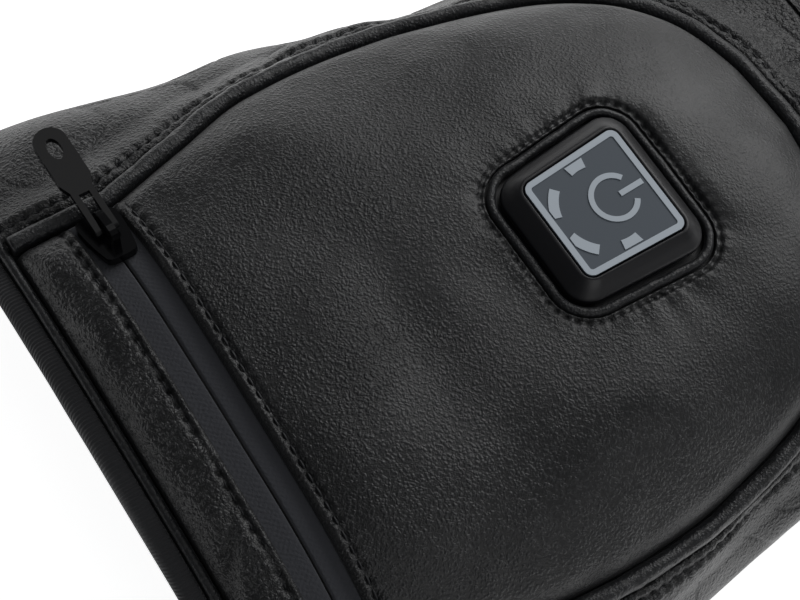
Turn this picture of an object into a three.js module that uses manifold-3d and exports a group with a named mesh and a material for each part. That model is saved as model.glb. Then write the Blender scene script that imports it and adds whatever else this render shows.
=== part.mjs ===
// A left-hand heated glove of black leather, lying palm down with its fingers towards +Y.
// Millimetres, +Z up. The origin is on the floor under the middle of the wrist.
// The cuff runs from the wrist towards -Y, the hand towards +Y, and the thumb is on the +X side.
import * as THREE from "three";
import { mergeVertices } from "three/addons/utils/BufferGeometryUtils.js";
import Module from "manifold-3d";

const wasm = await Module();
wasm.setup();

// Driving dimensions: layers and clearances
const GAP = 0.3; // between neighbouring pieces
const WALL = 3; // leather with the padding behind it
const LEATHER = 1.4; // a single layer of leather
const TAPE = 0.8; // thickness of the zip's woven tape

// Driving dimensions: the cuff and the hand
const CUFF_LENGTH = 133; // wrist to hem
const CUFF_WIDTH = 136; // across the hem
const CUFF_HEIGHT = 40; // floor to the top of the cuff under its pocket
const WRIST_WIDTH = 100;
const PALM_LENGTH = 102; // wrist to the crotches of the fingers
const HAND_WIDTH = 110; // across the roots of the fingers
const HAND_HEIGHT = 37;
const SQUARENESS = 2.4; // exponent of the superellipse that every section follows
const AXIS_SHARE = 0.43; // height of a section's centre as a share of its height
const SIDE_BAND = 11; // width of the strips between the back and the palm
const WRIST_SEAM = 9; // distance of the seam between cuff and hand beyond the wrist

// Driving dimensions: fingers and thumb
const FINGER_LENGTH = 86; // the middle finger, from its crotch
const FINGER_WIDTH = 29;
const FINGER_HEIGHT = 27.5;
const THUMB_LENGTH = 86;
const THUMB_WIDTH = 31;
const THUMB_ANGLE = 38; // degrees from the fingers' direction
const THUMB_HEIGHT = 29.14;
const THUMB_SEAM = 27; // distance of the thumb's seam from its root
const THUMB_ROOT_ACROSS = 0.42; // its root's place as a share of HAND_WIDTH
const THUMB_ROOT_ALONG = 0.25; // and as a share of PALM_LENGTH
const ROOT_RAISE = 1.5; // height of the fingers' roots above the middle of the hand
const THUMB_RAISE = 0.5;
const TIP_BAND = 0.28; // width of the side strips at the fingertips as a share of SIDE_BAND

// Driving dimensions: the battery pocket on the back of the cuff
const POCKET_WIDTH = 99; // where it is widest
const POCKET_LENGTH = 104.8; // zip seam to the rounded end
const POCKET_END = 6; // distance of the rounded end from the wrist, on the cuff
const POCKET_PUFF = 6; // rise of the padded pocket above its edge
const POCKET_RAMP = 24; // distance over which it rises
const EDGE_LIFT = 3.4; // height of the pocket's edge above the cuff
const PIPING_RADIUS = 1.5;
const SEAT_WIDTH = 3; // of the padded edge that rests on the cuff

// Driving dimensions: the zip
const ZIP_OPENING = 7.4; // visible width of the two tapes
const TAPE_HIDDEN = 3.4; // width of each tape under its leather edge
const COIL_WIDTH = 5.4;
const COIL_HEIGHT = 1.5;
const SLIDER_LENGTH = 10;
const SLIDER_WIDTH = 7; // at its front
const SLIDER_TAIL = 5.4; // width of its tail
const SLIDER_PLATE = 1.3;
const SLIDER_PLACE = 2.4; // distance of the slider's front from the pocket's edge
const BRIDGE_LENGTH = 6.2;
const BRIDGE_HEIGHT = 3.3; // above the plate
const BRIDGE_WIDTH = 1.2;
const BRIDGE_WIRE = 1.1;
const PIN_RADIUS = 0.5; // of the pull's cross pin, under the bridge
const PIN_HEIGHT = 1.15; // of its middle above the plate
const PULL_LENGTH = 20;
const PULL_WIDTH = 5.4;
const PULL_THICKNESS = 1;
const PULL_LEG = 1; // width of the two legs that straddle the bridge
const PULL_LEG_LENGTH = 7;
const PULL_CLEARANCE = 0.3; // between each leg and the bridge
const PULL_RAISE = 14; // degrees between the resting pull and the slider

// Driving dimensions: the hem
const BINDING_WIDTH = 3.4;
const BINDING_LAYER = 0.8;
const HEM_CORD_RADIUS = 0.8;
const HEM_RISE = 10; // distance over which the underside comes down to the floor
const HEM_LEAN = 9; // how much shorter the cuff is on its palm side
const LEAN_REACH = 60; // distance from the hem over which that comes about
const LEAN_TOP = 0.8; // the hem slants below this share of the cuff's height

// Driving dimensions: the button
const BUTTON_FROM_END = 42; // its centre from the pocket's rounded end
const BUTTON_TURN = 3; // degrees by which it is sewn in askew
const BUTTON_TAPER = 0.05; // how much wider it is at its finger side, as a share each way
const CAP_SIDE = 25.2;
const CAP_TOP_SIDE = 20.6;
const CAP_CORNER = 4.4;
const CAP_TOP_CORNER = 2.4;
const CAP_RISE = 2.9; // above the leather
const CAP_SKIRT = 0.35; // height of its upright sides above the leather
const CAP_EDGE = 0.5; // of the chamfer round its top
const LABEL_SIDE = 18.6;
const LABEL_CORNER = 1.5;
const LABEL_THICKNESS = 0.5;
const MARK_THICKNESS = 0.12;
const MARK_GAP = 0.03; // between the label and what is printed on it, and under the label
const BORDER_WIDTH = 1;
const POWER_RADIUS = 3.65; // to the middle of the ring's line
const POWER_LINE = 0.9;
const POWER_SHIFT = 2.15; // of the ring's centre towards the fingers
const POWER_GAP = 33; // degrees each side of the bar that the ring leaves open
const BAR_LENGTH = 4.4;
const BAR_START = 1.15; // from the ring's centre
const LEVEL_RADIUS = 7.9; // to the middle of the level marks, from the label's centre
const LEVEL_WIDTH = 1.7;
const WELT_RADIUS = 0.75;
const WELT_CLEARANCE = 0.7; // between the cap and its welt
const HOUSING_MARGIN = 4.5; // of the hidden plate beyond the opening
const HOUSING_THICKNESS = 1.6;
const PRESS_TRAVEL = 0.6;

// Sections of the cuff from the wrist to the hem.
// along: share of CUFF_LENGTH; flare: from the wrist's width to the hem's; height: share of CUFF_HEIGHT
const CUFF_SECTIONS = [
  { along: -1, flare: 1, height: 1 },
  { along: -0.8, flare: 0.86, height: 1.01 },
  { along: -0.6, flare: 0.64, height: 1.01 },
  { along: -0.4, flare: 0.34, height: 1 },
  { along: -0.2, flare: 0.12, height: 0.985 },
  { along: 0, flare: 0, height: 0.97 },
];

// Sections of the hand from the wrist to the crotches.
// along: share of PALM_LENGTH; little, index: sides as shares of HAND_WIDTH; height: share of HAND_HEIGHT
const HAND_SECTIONS = [
  { along: 0.2, little: 0.462, index: 0.47, height: 1.04 },
  { along: 0.45, little: 0.475, index: 0.485, height: 1.04 },
  { along: 0.7, little: 0.485, index: 0.495, height: 1.02 },
  { along: 0.9, little: 0.49, index: 0.5, height: 0.97 },
  { along: 1, little: 0.49, index: 0.5, height: 0.93 },
];

// How the hand closes beyond the crotches, between the fingers.
// beyond: share of SIDE_BAND past the crotches; scale: of the section about its centre
const HAND_END = [
  { beyond: 0, scale: 0.97 },
  { beyond: 0.3, scale: 0.88 },
  { beyond: 0.5, scale: 0.7 },
];

// Fingers: root and tip as shares of HAND_WIDTH from the middle, length as a share of FINGER_LENGTH,
// girth as a share of the finger sizes, crotch as a share of PALM_LENGTH
const FINGERS = [
  { root: -0.385, tip: -0.49, length: 0.75, girth: 0.88, crotch: 0.95 },
  { root: -0.145, tip: -0.185, length: 0.93, girth: 0.96, crotch: 0.99 },
  { root: 0.115, tip: 0.135, length: 1, girth: 1, crotch: 1 },
  { root: 0.37, tip: 0.455, length: 0.92, girth: 0.98, crotch: 0.98 },
];

// How a finger or thumb runs from its root to its tip.
// along: share of its length; girth: of its own width; fall: share of the way down to the floor
const FINGER_RUN = [
  { along: -0.3, girth: 0.9, fall: 0 },
  { along: -0.12, girth: 0.98, fall: 0 },
  { along: 0.08, girth: 1, fall: 0 },
  { along: 0.3, girth: 1.01, fall: 0 },
  { along: 0.52, girth: 0.99, fall: 0.12 },
  { along: 0.72, girth: 0.95, fall: 0.5 },
  { along: 1, girth: 0.9, fall: 1 },
];
const THUMB_RUN = [
  { along: -0.2, girth: 0.98, fall: 0 },
  { along: 0, girth: 1.16, fall: 0 },
  { along: 0.16, girth: 1.14, fall: 0 },
  { along: 0.36, girth: 1.04, fall: 0.1 },
  { along: 0.6, girth: 0.98, fall: 0.4 },
  { along: 1, girth: 0.9, fall: 1 },
];

// Outline of the pocket from the zip seam to its rounded end.
// along: share of POCKET_LENGTH; half: half-width as a share of POCKET_WIDTH
const POCKET_OUTLINE = [
  { along: 0, half: 0.417 },
  { along: 0.13, half: 0.455 },
  { along: 0.27, half: 0.494 },
  { along: 0.38, half: 0.5 },
  { along: 0.5, half: 0.494 },
  { along: 0.64, half: 0.467 },
  { along: 0.76, half: 0.428 },
  { along: 0.86, half: 0.367 },
  { along: 0.94, half: 0.272 },
  { along: 0.985, half: 0.14 },
  { along: 1, half: 0 },
];

// Fullness of the padded layer from the hem to the pocket.
// along: share of the way from the hem to the zip seam; full: share of POCKET_PUFF
const FULLNESS = [
  { along: 0, full: 0.06 },
  { along: 0.3, full: 0.42 },
  { along: 0.65, full: 0.6 },
  { along: 1, full: 0.72 },
  { along: 1.6, full: 0.95 },
  { along: 2.4, full: 1 },
];

// Level marks round the cuff side of the label.
// middle, half: middle and half-length in degrees, anticlockwise from +X; radius: share of LEVEL_RADIUS
const LEVEL_MARKS = [
  { middle: 180, half: 12, radius: 0.93 },
  { middle: 239, half: 18, radius: 1 },
  { middle: 301, half: 18, radius: 1 },
  { middle: 360, half: 12, radius: 0.93 },
];

const HEM_Y = -CUFF_LENGTH;
const POCKET_END_Y = -POCKET_END;
const ZIP_SEAM_Y = POCKET_END_Y - POCKET_LENGTH;
const ZIP_MIDDLE_Y = ZIP_SEAM_Y - ZIP_OPENING / 2;
const STRIP_SEAM_Y = ZIP_SEAM_Y - ZIP_OPENING;
const CORD_Y = HEM_Y + BINDING_WIDTH + GAP + HEM_CORD_RADIUS;
const STRIP_HEM_Y = CORD_Y + HEM_CORD_RADIUS + GAP;
const BUTTON_Y = POCKET_END_Y - BUTTON_FROM_END;
const CROTCH_Y = PALM_LENGTH;
const TURN = Math.PI * 2;
const DEGREE = Math.PI / 180;
const AROUND = 24; // sides of the body's sections
const FINGER_AROUND = 12;
const DIGIT_STEPS = 5;
const CORD_SIDES = 6;

const v3 = (x, y, z) => new THREE.Vector3(x, y, z);
const clamp01 = (value) => THREE.MathUtils.clamp(value, 0, 1);
const evenly = (from, to, count) =>
  Array.from({ length: count + 1 }, (_, i) => from + ((to - from) * i) / count);

// Rises from 0 to 1 with a level start and end.
function ease(value) {
  const t = clamp01(value);
  return t * t * (3 - 2 * t);
}

// Interpolates a column of a table smoothly, by cubics whose slopes never overshoot.
function smooth(rows, key, column, at) {
  const n = rows.length;
  if (at <= rows[0][key]) return rows[0][column];
  if (at >= rows[n - 1][key]) return rows[n - 1][column];
  const chord = (i) => (rows[i + 1][column] - rows[i][column]) / (rows[i + 1][key] - rows[i][key]);
  const slope = (i) => {
    if (i === 0) return chord(0);
    if (i === n - 1) return chord(n - 2);
    const before = chord(i - 1);
    const after = chord(i);
    return before * after <= 0 ? 0 : (2 * before * after) / (before + after);
  };
  const i = rows.findIndex((row, k) => k < n - 1 && at <= rows[k + 1][key]);
  const span = rows[i + 1][key] - rows[i][key];
  const t = (at - rows[i][key]) / span;
  const a = rows[i][column];
  const b = rows[i + 1][column];
  return (
    a * (1 + 2 * t) * (1 - t) ** 2 +
    b * (3 - 2 * t) * t * t +
    slope(i) * span * t * (1 - t) ** 2 -
    slope(i + 1) * span * t * t * (1 - t)
  );
}

// The body's sections in millimetres, cuff and hand in one table
const BODY = [
  ...CUFF_SECTIONS.map((row) => {
    const half = (WRIST_WIDTH + (CUFF_WIDTH - WRIST_WIDTH) * row.flare) / 2;
    return { y: row.along * CUFF_LENGTH, left: -half, right: half, top: row.height * CUFF_HEIGHT };
  }),
  ...HAND_SECTIONS.map((row) => ({
    y: row.along * PALM_LENGTH,
    left: -row.little * HAND_WIDTH,
    right: row.index * HAND_WIDTH,
    top: row.height * HAND_HEIGHT,
  })),
];

// Centre and half-sizes of the body's section at y.
function section(y) {
  const left = smooth(BODY, "y", "left", y);
  const right = smooth(BODY, "y", "right", y);
  const top = smooth(BODY, "y", "top", y);
  const axis = top * AXIS_SHARE;
  return { x: (left + right) / 2, z: axis, a: (right - left) / 2, b: top - axis };
}

const power = (value, exponent) => Math.sign(value) * Math.abs(value) ** exponent;

// Height of the cuff's underside above the floor: the hem stands off it by its binding.
function underside(y) {
  return (BINDING_LAYER + GAP) * (1 - ease((y - CORD_Y) / HEM_RISE));
}

// How far the hem's slant moves a place towards the wrist: most on the palm side, nothing under the pocket
function lean(y, z) {
  const under = clamp01(1 - z / (LEAN_TOP * CUFF_HEIGHT));
  return HEM_LEAN * under * ease((LEAN_REACH - (y - HEM_Y)) / LEAN_REACH);
}

// A ring of points round the body at y, inset from its surface. It lies flat on the floor.
function bodyRing(y, inset = 0, scale = 1) {
  const s = section(y);
  return Array.from({ length: AROUND }, (_, i) => {
    const angle = ((i + 0.5) / AROUND) * TURN;
    const x = s.x + (s.a - inset) * scale * power(Math.cos(angle), 2 / SQUARENESS);
    const z = s.z + (s.b - inset) * scale * power(Math.sin(angle), 2 / SQUARENESS);
    const height = Math.max(z, underside(y) + inset);
    return new THREE.Vector3(x, y + lean(y, height), height);
  });
}

// Height of the top of the cuff at a place.
function cuffTop(x, y) {
  const s = section(y);
  const out = Math.min(Math.abs((x - s.x) / s.a), 0.999);
  return s.z + s.b * (1 - out ** SQUARENESS) ** (1 / SQUARENESS);
}

// Half-width of the pocket at y; below the zip seam its edges run straight to the hem.
function pocketHalf(y) {
  return smooth(POCKET_OUTLINE, "along", "half", (y - ZIP_SEAM_Y) / POCKET_LENGTH) * POCKET_WIDTH;
}

// The pocket's edge as a line: from the hem on one side, round the end, to the hem on the other.
const EDGE_STEPS = 18;
const edgeSide = Array.from({ length: EDGE_STEPS + 1 }, (_, i) => {
  const t = Math.sin(((i / EDGE_STEPS) * Math.PI) / 2);
  const y = STRIP_HEM_Y + (POCKET_END_Y - STRIP_HEM_Y) * t;
  return new THREE.Vector2(pocketHalf(y), y);
});
const edgeLine = [
  ...edgeSide.map((p) => new THREE.Vector2(-p.x, p.y)),
  ...edgeSide.slice(0, -1).reverse(),
];

// Distance from a place to the pocket's edge.
function edgeDistance(x, y) {
  let best = Infinity;
  for (let i = 0; i + 1 < edgeLine.length; i += 1) {
    const a = edgeLine[i];
    const b = edgeLine[i + 1];
    const dx = b.x - a.x;
    const dy = b.y - a.y;
    const t = clamp01(((x - a.x) * dx + (y - a.y) * dy) / (dx * dx + dy * dy));
    best = Math.min(best, Math.hypot(x - a.x - dx * t, y - a.y - dy * t));
  }
  return best;
}

// Height of the padded top layer above the cuff.
function lift(x, y) {
  const inside = Math.abs(x) < pocketHalf(y) ? edgeDistance(x, y) : 0;
  const rise = Math.min(inside / POCKET_RAMP, 1);
  const along = (y - STRIP_HEM_Y) / (ZIP_SEAM_Y - STRIP_HEM_Y);
  return EDGE_LIFT + POCKET_PUFF * rise * (2 - rise) * smooth(FULLNESS, "along", "full", along);
}

const layerTop = (x, y) => cuffTop(x, y) + lift(x, y);

// Slope of the top layer along x, as an angle.
function slopeAt(x, y, step = 2) {
  return Math.atan((layerTop(x + step, y) - layerTop(x - step, y)) / (2 * step));
}

// Geometry from points and triangles
function geometryOf(points, triangles) {
  const geometry = new THREE.BufferGeometry();
  geometry.setAttribute(
    "position",
    new THREE.Float32BufferAttribute(points.flatMap((p) => [p.x, p.y, p.z]), 3),
  );
  geometry.setIndex(triangles);
  return geometry;
}

// Joins rings of equal length into a tube. An open tube gets a flat cap over each end.
function tube(rings, closed = false) {
  const n = rings[0].length;
  const points = rings.flat();
  const triangles = [];
  const steps = closed ? rings.length : rings.length - 1;
  for (let r = 0; r < steps; r += 1) {
    const next = (r + 1) % rings.length;
    for (let i = 0; i < n; i += 1) {
      const j = (i + 1) % n;
      const [a, b, c, d] = [r * n + i, r * n + j, next * n + j, next * n + i];
      triangles.push(a, b, c, a, c, d);
    }
  }
  if (!closed) {
    for (const [ring, start, flip] of [
      [rings[0], 0, true],
      [rings[rings.length - 1], (rings.length - 1) * n, false],
    ]) {
      const middle = ring.reduce((sum, p) => sum.add(p), new THREE.Vector3()).divideScalar(n);
      const hub = points.push(middle) - 1;
      for (let i = 0; i < n; i += 1) {
        const j = (i + 1) % n;
        triangles.push(...(flip ? [hub, start + j, start + i] : [hub, start + i, start + j]));
      }
    }
  }
  return solid(geometryOf(points, triangles));
}

// A sheet between two heights over a grid of places, as rows of {x, y, top, bottom}.
function sheet(rows) {
  const n = rows[0].length;
  const points = rows.flatMap((row) => [
    ...row.map((p) => new THREE.Vector3(p.x, p.y, p.top)),
    ...row.map((p) => new THREE.Vector3(p.x, p.y, p.bottom)),
  ]);
  const top = (r, i) => r * 2 * n + i;
  const bottom = (r, i) => r * 2 * n + n + i;
  const triangles = [];
  const quad = (a, b, c, d) => triangles.push(a, b, c, a, c, d);
  for (let r = 0; r + 1 < rows.length; r += 1) {
    for (let i = 0; i + 1 < n; i += 1) {
      quad(top(r, i), top(r, i + 1), top(r + 1, i + 1), top(r + 1, i));
      quad(bottom(r, i), bottom(r + 1, i), bottom(r + 1, i + 1), bottom(r, i + 1));
    }
    quad(top(r, 0), top(r + 1, 0), bottom(r + 1, 0), bottom(r, 0));
    quad(top(r, n - 1), bottom(r, n - 1), bottom(r + 1, n - 1), top(r + 1, n - 1));
  }
  const last = rows.length - 1;
  for (let i = 0; i + 1 < n; i += 1) {
    quad(top(0, i), bottom(0, i), bottom(0, i + 1), top(0, i + 1));
    quad(top(last, i), top(last, i + 1), bottom(last, i + 1), bottom(last, i));
  }
  return solid(geometryOf(points, triangles));
}

// A closed mesh as a manifold-3d solid, turned right side out if need be.
function solid(geometry) {
  const bare = geometry.clone();
  bare.deleteAttribute("normal");
  bare.deleteAttribute("uv");
  const merged = mergeVertices(bare, 1e-4);
  const vertProperties = merged.attributes.position.array;
  const triVerts = new Uint32Array(merged.index.array);
  const made = new wasm.Manifold(new wasm.Mesh({ numProp: 3, vertProperties, triVerts }));
  if (made.volume() >= 0) return made;
  for (let i = 0; i < triVerts.length; i += 3) {
    [triVerts[i + 1], triVerts[i + 2]] = [triVerts[i + 2], triVerts[i + 1]];
  }
  return new wasm.Manifold(new wasm.Mesh({ numProp: 3, vertProperties, triVerts }));
}

// A flat shape raised from one height to another.
function prism(shape, low, high, curveSegments = 6) {
  const geometry = new THREE.ExtrudeGeometry(shape, {
    depth: high - low,
    bevelEnabled: false,
    curveSegments,
  });
  return solid(geometry.translate(0, 0, low));
}

// A block between two corners.
function block(low, high) {
  const size = new THREE.Vector3().subVectors(high, low);
  const middle = new THREE.Vector3().addVectors(high, low).multiplyScalar(0.5);
  return solid(new THREE.BoxGeometry(size.x, size.y, size.z).translate(middle.x, middle.y, middle.z));
}

// Materials
const leather = new THREE.MeshStandardMaterial({ color: 0x222326, roughness: 0.55, metalness: 0 });
const trimLeather = new THREE.MeshStandardMaterial({ color: 0x1b1d22, roughness: 0.5, metalness: 0 });
const tapeCloth = new THREE.MeshStandardMaterial({ color: 0x24262a, roughness: 0.9, metalness: 0 });
const coilPlastic = new THREE.MeshStandardMaterial({ color: 0x101114, roughness: 0.4, metalness: 0 });
const darkMetal = new THREE.MeshStandardMaterial({ color: 0x1a1b1e, roughness: 0.25, metalness: 0.9 });
const capPlastic = new THREE.MeshStandardMaterial({ color: 0x16171c, roughness: 0.45, metalness: 0 });
const labelPlastic = new THREE.MeshStandardMaterial({ color: 0x4b525b, roughness: 0.5, metalness: 0 });
const printInk = new THREE.MeshStandardMaterial({ color: 0xb4bcc4, roughness: 0.5, metalness: 0 });

const glove = new THREE.Group();
const pressed = new THREE.Group();
glove.add(pressed);

// Adds a solid as a named mesh.
function add(name, made, material, group = glove) {
  const mesh = made.getMesh();
  const stride = mesh.numProp;
  const position = new Float32Array(mesh.numVert * 3);
  for (let i = 0; i < mesh.numVert; i += 1) {
    position.set(mesh.vertProperties.subarray(i * stride, i * stride + 3), i * 3);
  }
  const geometry = new THREE.BufferGeometry();
  geometry.setAttribute("position", new THREE.BufferAttribute(position, 3));
  geometry.setIndex(new THREE.BufferAttribute(mesh.triVerts, 1));
  geometry.computeVertexNormals();
  const piece = new THREE.Mesh(geometry, material);
  piece.name = name;
  group.add(piece);
  return piece;
}

const union = (parts) => parts.reduce((sum, part) => sum.add(part));
const largest = (made) => made.decompose().sort((p, q) => q.volume() - p.volume());

// Body of the cuff and the hand, with more rings near the hem, where its shape changes faster
const CUFF_RINGS = { from: 0.7, to: 0.1, steps: 4 }; // shares of CUFF_LENGTH
const HAND_RINGS = { from: 0.06, to: 0.94, steps: 4 }; // shares of PALM_LENGTH
const bodyRows = [
  HEM_Y + BINDING_LAYER + GAP,
  CORD_Y,
  CORD_Y + HEM_RISE,
  ...evenly(HEM_Y * CUFF_RINGS.from, HEM_Y * CUFF_RINGS.to, CUFF_RINGS.steps),
  ...evenly(PALM_LENGTH * HAND_RINGS.from, PALM_LENGTH * HAND_RINGS.to, HAND_RINGS.steps),
];
const bodyRings = (inset) => [
  ...bodyRows.map((y) => bodyRing(y, inset)),
  ...HAND_END.map((row) => {
    const y = CROTCH_Y + row.beyond * SIDE_BAND - inset;
    return bodyRing(Math.min(y, CROTCH_Y), inset, row.scale).map((p) => p.setY(y));
  }),
];
const bodyOuter = tube(bodyRings(0));
const openEnd = bodyRing(bodyRows[0], WALL).map((p) => p.clone().add(v3(0, -2 * WALL, 0)));
const bodyInner = tube([openEnd, ...bodyRings(WALL)]);

// A finger's centre line, with its half-width and half-height at each step, from its root to its tip
function digitRun(run, root, direction, length, halfWidth, halfHeight, rootHeight) {
  const steps = evenly(run[0].along, 1, DIGIT_STEPS);
  return steps.map((along) => {
    const girth = smooth(run, "along", "girth", along);
    const fall = smooth(run, "along", "fall", along);
    const tipHeight = halfHeight * smooth(run, "along", "girth", 1);
    const middle = root.clone().addScaledVector(direction, along * length);
    middle.z = rootHeight + (tipHeight - rootHeight) * fall;
    return { middle, halfWidth: halfWidth * girth, halfHeight: halfHeight * girth };
  });
}

// The rounded end of a finger.
// back: distance from its tip as a share of its half-width; width: share of its width left there
const TIP_ROUNDING = [
  { back: 0.9, width: 1 },
  { back: 0.36, width: 0.82 },
  { back: 0.04, width: 0.42 },
];

// A finger as a solid, inset from its surface. It lies flat where it would sink below the floor.
function digit(steps, inset) {
  const tip = steps[steps.length - 1];
  const before = steps[steps.length - 2];
  const onward = new THREE.Vector3().subVectors(tip.middle, before.middle).normalize();
  const reach = tip.halfWidth - inset;
  const kept = steps.filter(
    (s) => s.middle.distanceTo(tip.middle) > tip.halfWidth * TIP_ROUNDING[0].back + inset,
  );
  const rounded = TIP_ROUNDING.map((row) => ({
    middle: tip.middle.clone().addScaledVector(onward, -inset - row.back * reach),
    halfWidth: (tip.halfWidth - inset) * row.width + inset,
    halfHeight: (tip.halfHeight - inset) * row.width + inset,
  }));
  const side = new THREE.Vector3(onward.y, -onward.x, 0).normalize();
  return tube(
    [...kept, ...rounded].map((s) =>
      Array.from({ length: FINGER_AROUND }, (_, i) => {
        const angle = ((i + 0.5) / FINGER_AROUND) * TURN;
        const p = s.middle.clone().addScaledVector(side, (s.halfWidth - inset) * Math.cos(angle));
        p.z = Math.max(s.middle.z + (s.halfHeight - inset) * Math.sin(angle), inset);
        return p;
      }),
    ),
  );
}

const handMiddle = HAND_HEIGHT * AXIS_SHARE;
const rootHeight = handMiddle + ROOT_RAISE;
const fingerSteps = FINGERS.map((finger) => {
  const crotch = finger.crotch * PALM_LENGTH;
  const length = finger.length * FINGER_LENGTH;
  const root = v3(finger.root * HAND_WIDTH, crotch, 0);
  const direction = v3((finger.tip - finger.root) * HAND_WIDTH, length, 0).normalize();
  const half = (finger.girth * FINGER_WIDTH) / 2;
  const halfHeight = (finger.girth * FINGER_HEIGHT) / 2;
  return digitRun(FINGER_RUN, root, direction, length, half, halfHeight, rootHeight);
});
const thumbDirection = v3(Math.sin(THUMB_ANGLE * DEGREE), Math.cos(THUMB_ANGLE * DEGREE), 0);
const thumbRoot = v3(HAND_WIDTH * THUMB_ROOT_ACROSS, PALM_LENGTH * THUMB_ROOT_ALONG, 0);
const thumbSteps = digitRun(
  THUMB_RUN,
  thumbRoot,
  thumbDirection,
  THUMB_LENGTH,
  THUMB_WIDTH / 2,
  THUMB_HEIGHT / 2,
  handMiddle + THUMB_RAISE,
);

const digits = [...fingerSteps, thumbSteps];
const outer = union([bodyOuter, ...digits.map((steps) => digit(steps, 0))]);
const inner = union([bodyInner, ...digits.map((steps) => digit(steps, WALL))]);
const shell = outer.subtract(inner);

// Cuts between the pieces of the shell
const FAR = 400;
const cuffSide = block(v3(-FAR, -FAR, -FAR), v3(FAR, WRIST_SEAM - GAP / 2, FAR));
const handSide = block(v3(-FAR, WRIST_SEAM + GAP / 2, -FAR), v3(FAR, FAR, FAR));
const cuffShell = shell.intersect(cuffSide);
const handShell = shell.intersect(handSide);

// Slab round the middle height of the cuff, thick enough to leave a gap between its two panels
function cuffBand(half) {
  return sheet(
    evenly(HEM_Y - WALL, WRIST_SEAM + WALL, 12).map((y) =>
      [-CUFF_WIDTH, CUFF_WIDTH].map((x) => {
        const z = section(y).z;
        return { x, y, top: z + half, bottom: z - half };
      }),
    ),
  );
}
const cuffHalves = cuffShell.subtract(cuffBand(GAP / 2)).decompose();
const isUpper = (made) => made.boundingBox().max[2] > CUFF_HEIGHT / 2;
add("cuff_back_panel", cuffHalves.find(isUpper), leather);
add("cuff_palm_panel", cuffHalves.find((made) => !isUpper(made)), leather);

// The thumb is sewn on round its root, square to its own direction.
function thumbBlock(start) {
  const across = THUMB_WIDTH * 1.32;
  const along = THUMB_LENGTH * 1.4;
  const made = new THREE.BoxGeometry(across, along, HAND_HEIGHT * 4);
  made.translate(0, along / 2 + THUMB_SEAM + start, 0);
  made.rotateZ(-THUMB_ANGLE * DEGREE);
  made.translate(thumbRoot.x, thumbRoot.y, 0);
  return solid(made);
}
add("thumb", largest(handShell.intersect(thumbBlock(GAP / 2)))[0], leather);
const hand = largest(handShell.subtract(thumbBlock(-GAP / 2)))[0];

// Band of the side strips: it follows the hand's sides and each finger, and narrows to nothing at the tips.
function bandSlab(extra) {
  const half = SIDE_BAND / 2 + extra;
  const bodyBand = sheet(
    evenly(WRIST_SEAM - WALL, CROTCH_Y + SIDE_BAND, 7).map((y) =>
      [-HAND_WIDTH, HAND_WIDTH].map((x) => {
        const z = THREE.MathUtils.lerp(section(y).z, rootHeight, clamp01(y / CROTCH_Y));
        return { x, y, top: z + half, bottom: z - half };
      }),
    ),
  );
  const fingerBands = fingerSteps.map((steps) => {
    const last = steps[steps.length - 1];
    const rows = steps.map((s, i) => {
      const nearTip = clamp01((i - steps.length + 3) / 2);
      return { ...s, half: half * THREE.MathUtils.lerp(1, TIP_BAND, nearTip) };
    });
    const side = v3(1, 0, 0);
    const beyond = last.middle.clone().add(v3(0, SIDE_BAND, 0));
    rows.push({ middle: beyond, halfWidth: last.halfWidth, half: half * TIP_BAND });
    return tube(
      rows.map((s) => {
        const reach = s.halfWidth + LEATHER;
        return [
          [-1, -1],
          [1, -1],
          [1, 1],
          [-1, 1],
        ].map(([across, up]) =>
          s.middle.clone().addScaledVector(side, across * reach).add(v3(0, 0, up * s.half)),
        );
      }),
    );
  });
  return union([bodyBand, ...fingerBands]);
}
const panels = largest(hand.subtract(bandSlab(GAP / 2))).slice(0, 2);
panels.sort((p, q) => q.boundingBox().max[2] - p.boundingBox().max[2]);
add("hand_back_panel", panels[0], leather);
add("hand_palm_panel", panels[1], leather);

// Slits at the fingertips separate the strips between the fingers.
const slits = fingerSteps.map((steps) => {
  const tip = steps[steps.length - 1];
  return block(
    v3(tip.middle.x - GAP, tip.middle.y - tip.halfWidth, -FAR),
    v3(tip.middle.x + GAP, tip.middle.y + tip.halfWidth, FAR),
  );
});
const strips = largest(hand.intersect(bandSlab(-GAP / 2)).subtract(union(slits)));
const STRIP_NAMES = [
  "side_strip_little",
  "fourchette_little_ring",
  "fourchette_ring_middle",
  "fourchette_middle_index",
  "side_strip_index",
];
const middleOf = (made, axis) =>
  (made.boundingBox().min[axis] + made.boundingBox().max[axis]) / 2;
const reachesFingers = (made) => made.boundingBox().max[1] > CROTCH_Y;
const longStrips = strips.filter(reachesFingers).slice(0, STRIP_NAMES.length);
longStrips.sort((p, q) => middleOf(p, 0) - middleOf(q, 0));
longStrips.forEach((made, i) => add(STRIP_NAMES[i], made, trimLeather));
const wristStrip = strips.find((made) => !reachesFingers(made));
if (wristStrip) add("side_strip_wrist", wristStrip, trimLeather);

// Hem: a binding folded over the edge, as a U-shaped section swept round the cuff
function hemBinding() {
  const end = HEM_Y + BINDING_WIDTH;
  const fold = HEM_Y + BINDING_LAYER;
  const outside = -GAP - BINDING_LAYER;
  const inside = WALL + GAP + BINDING_LAYER;
  return tube(
    [
      bodyRing(HEM_Y, outside),
      bodyRing(end, outside),
      bodyRing(end, -GAP),
      bodyRing(fold, -GAP),
      bodyRing(fold, WALL + GAP),
      bodyRing(end, WALL + GAP),
      bodyRing(end, inside),
      bodyRing(HEM_Y, inside),
    ],
    true,
  );
}
add("hem_binding", hemBinding(), tapeCloth);

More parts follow.
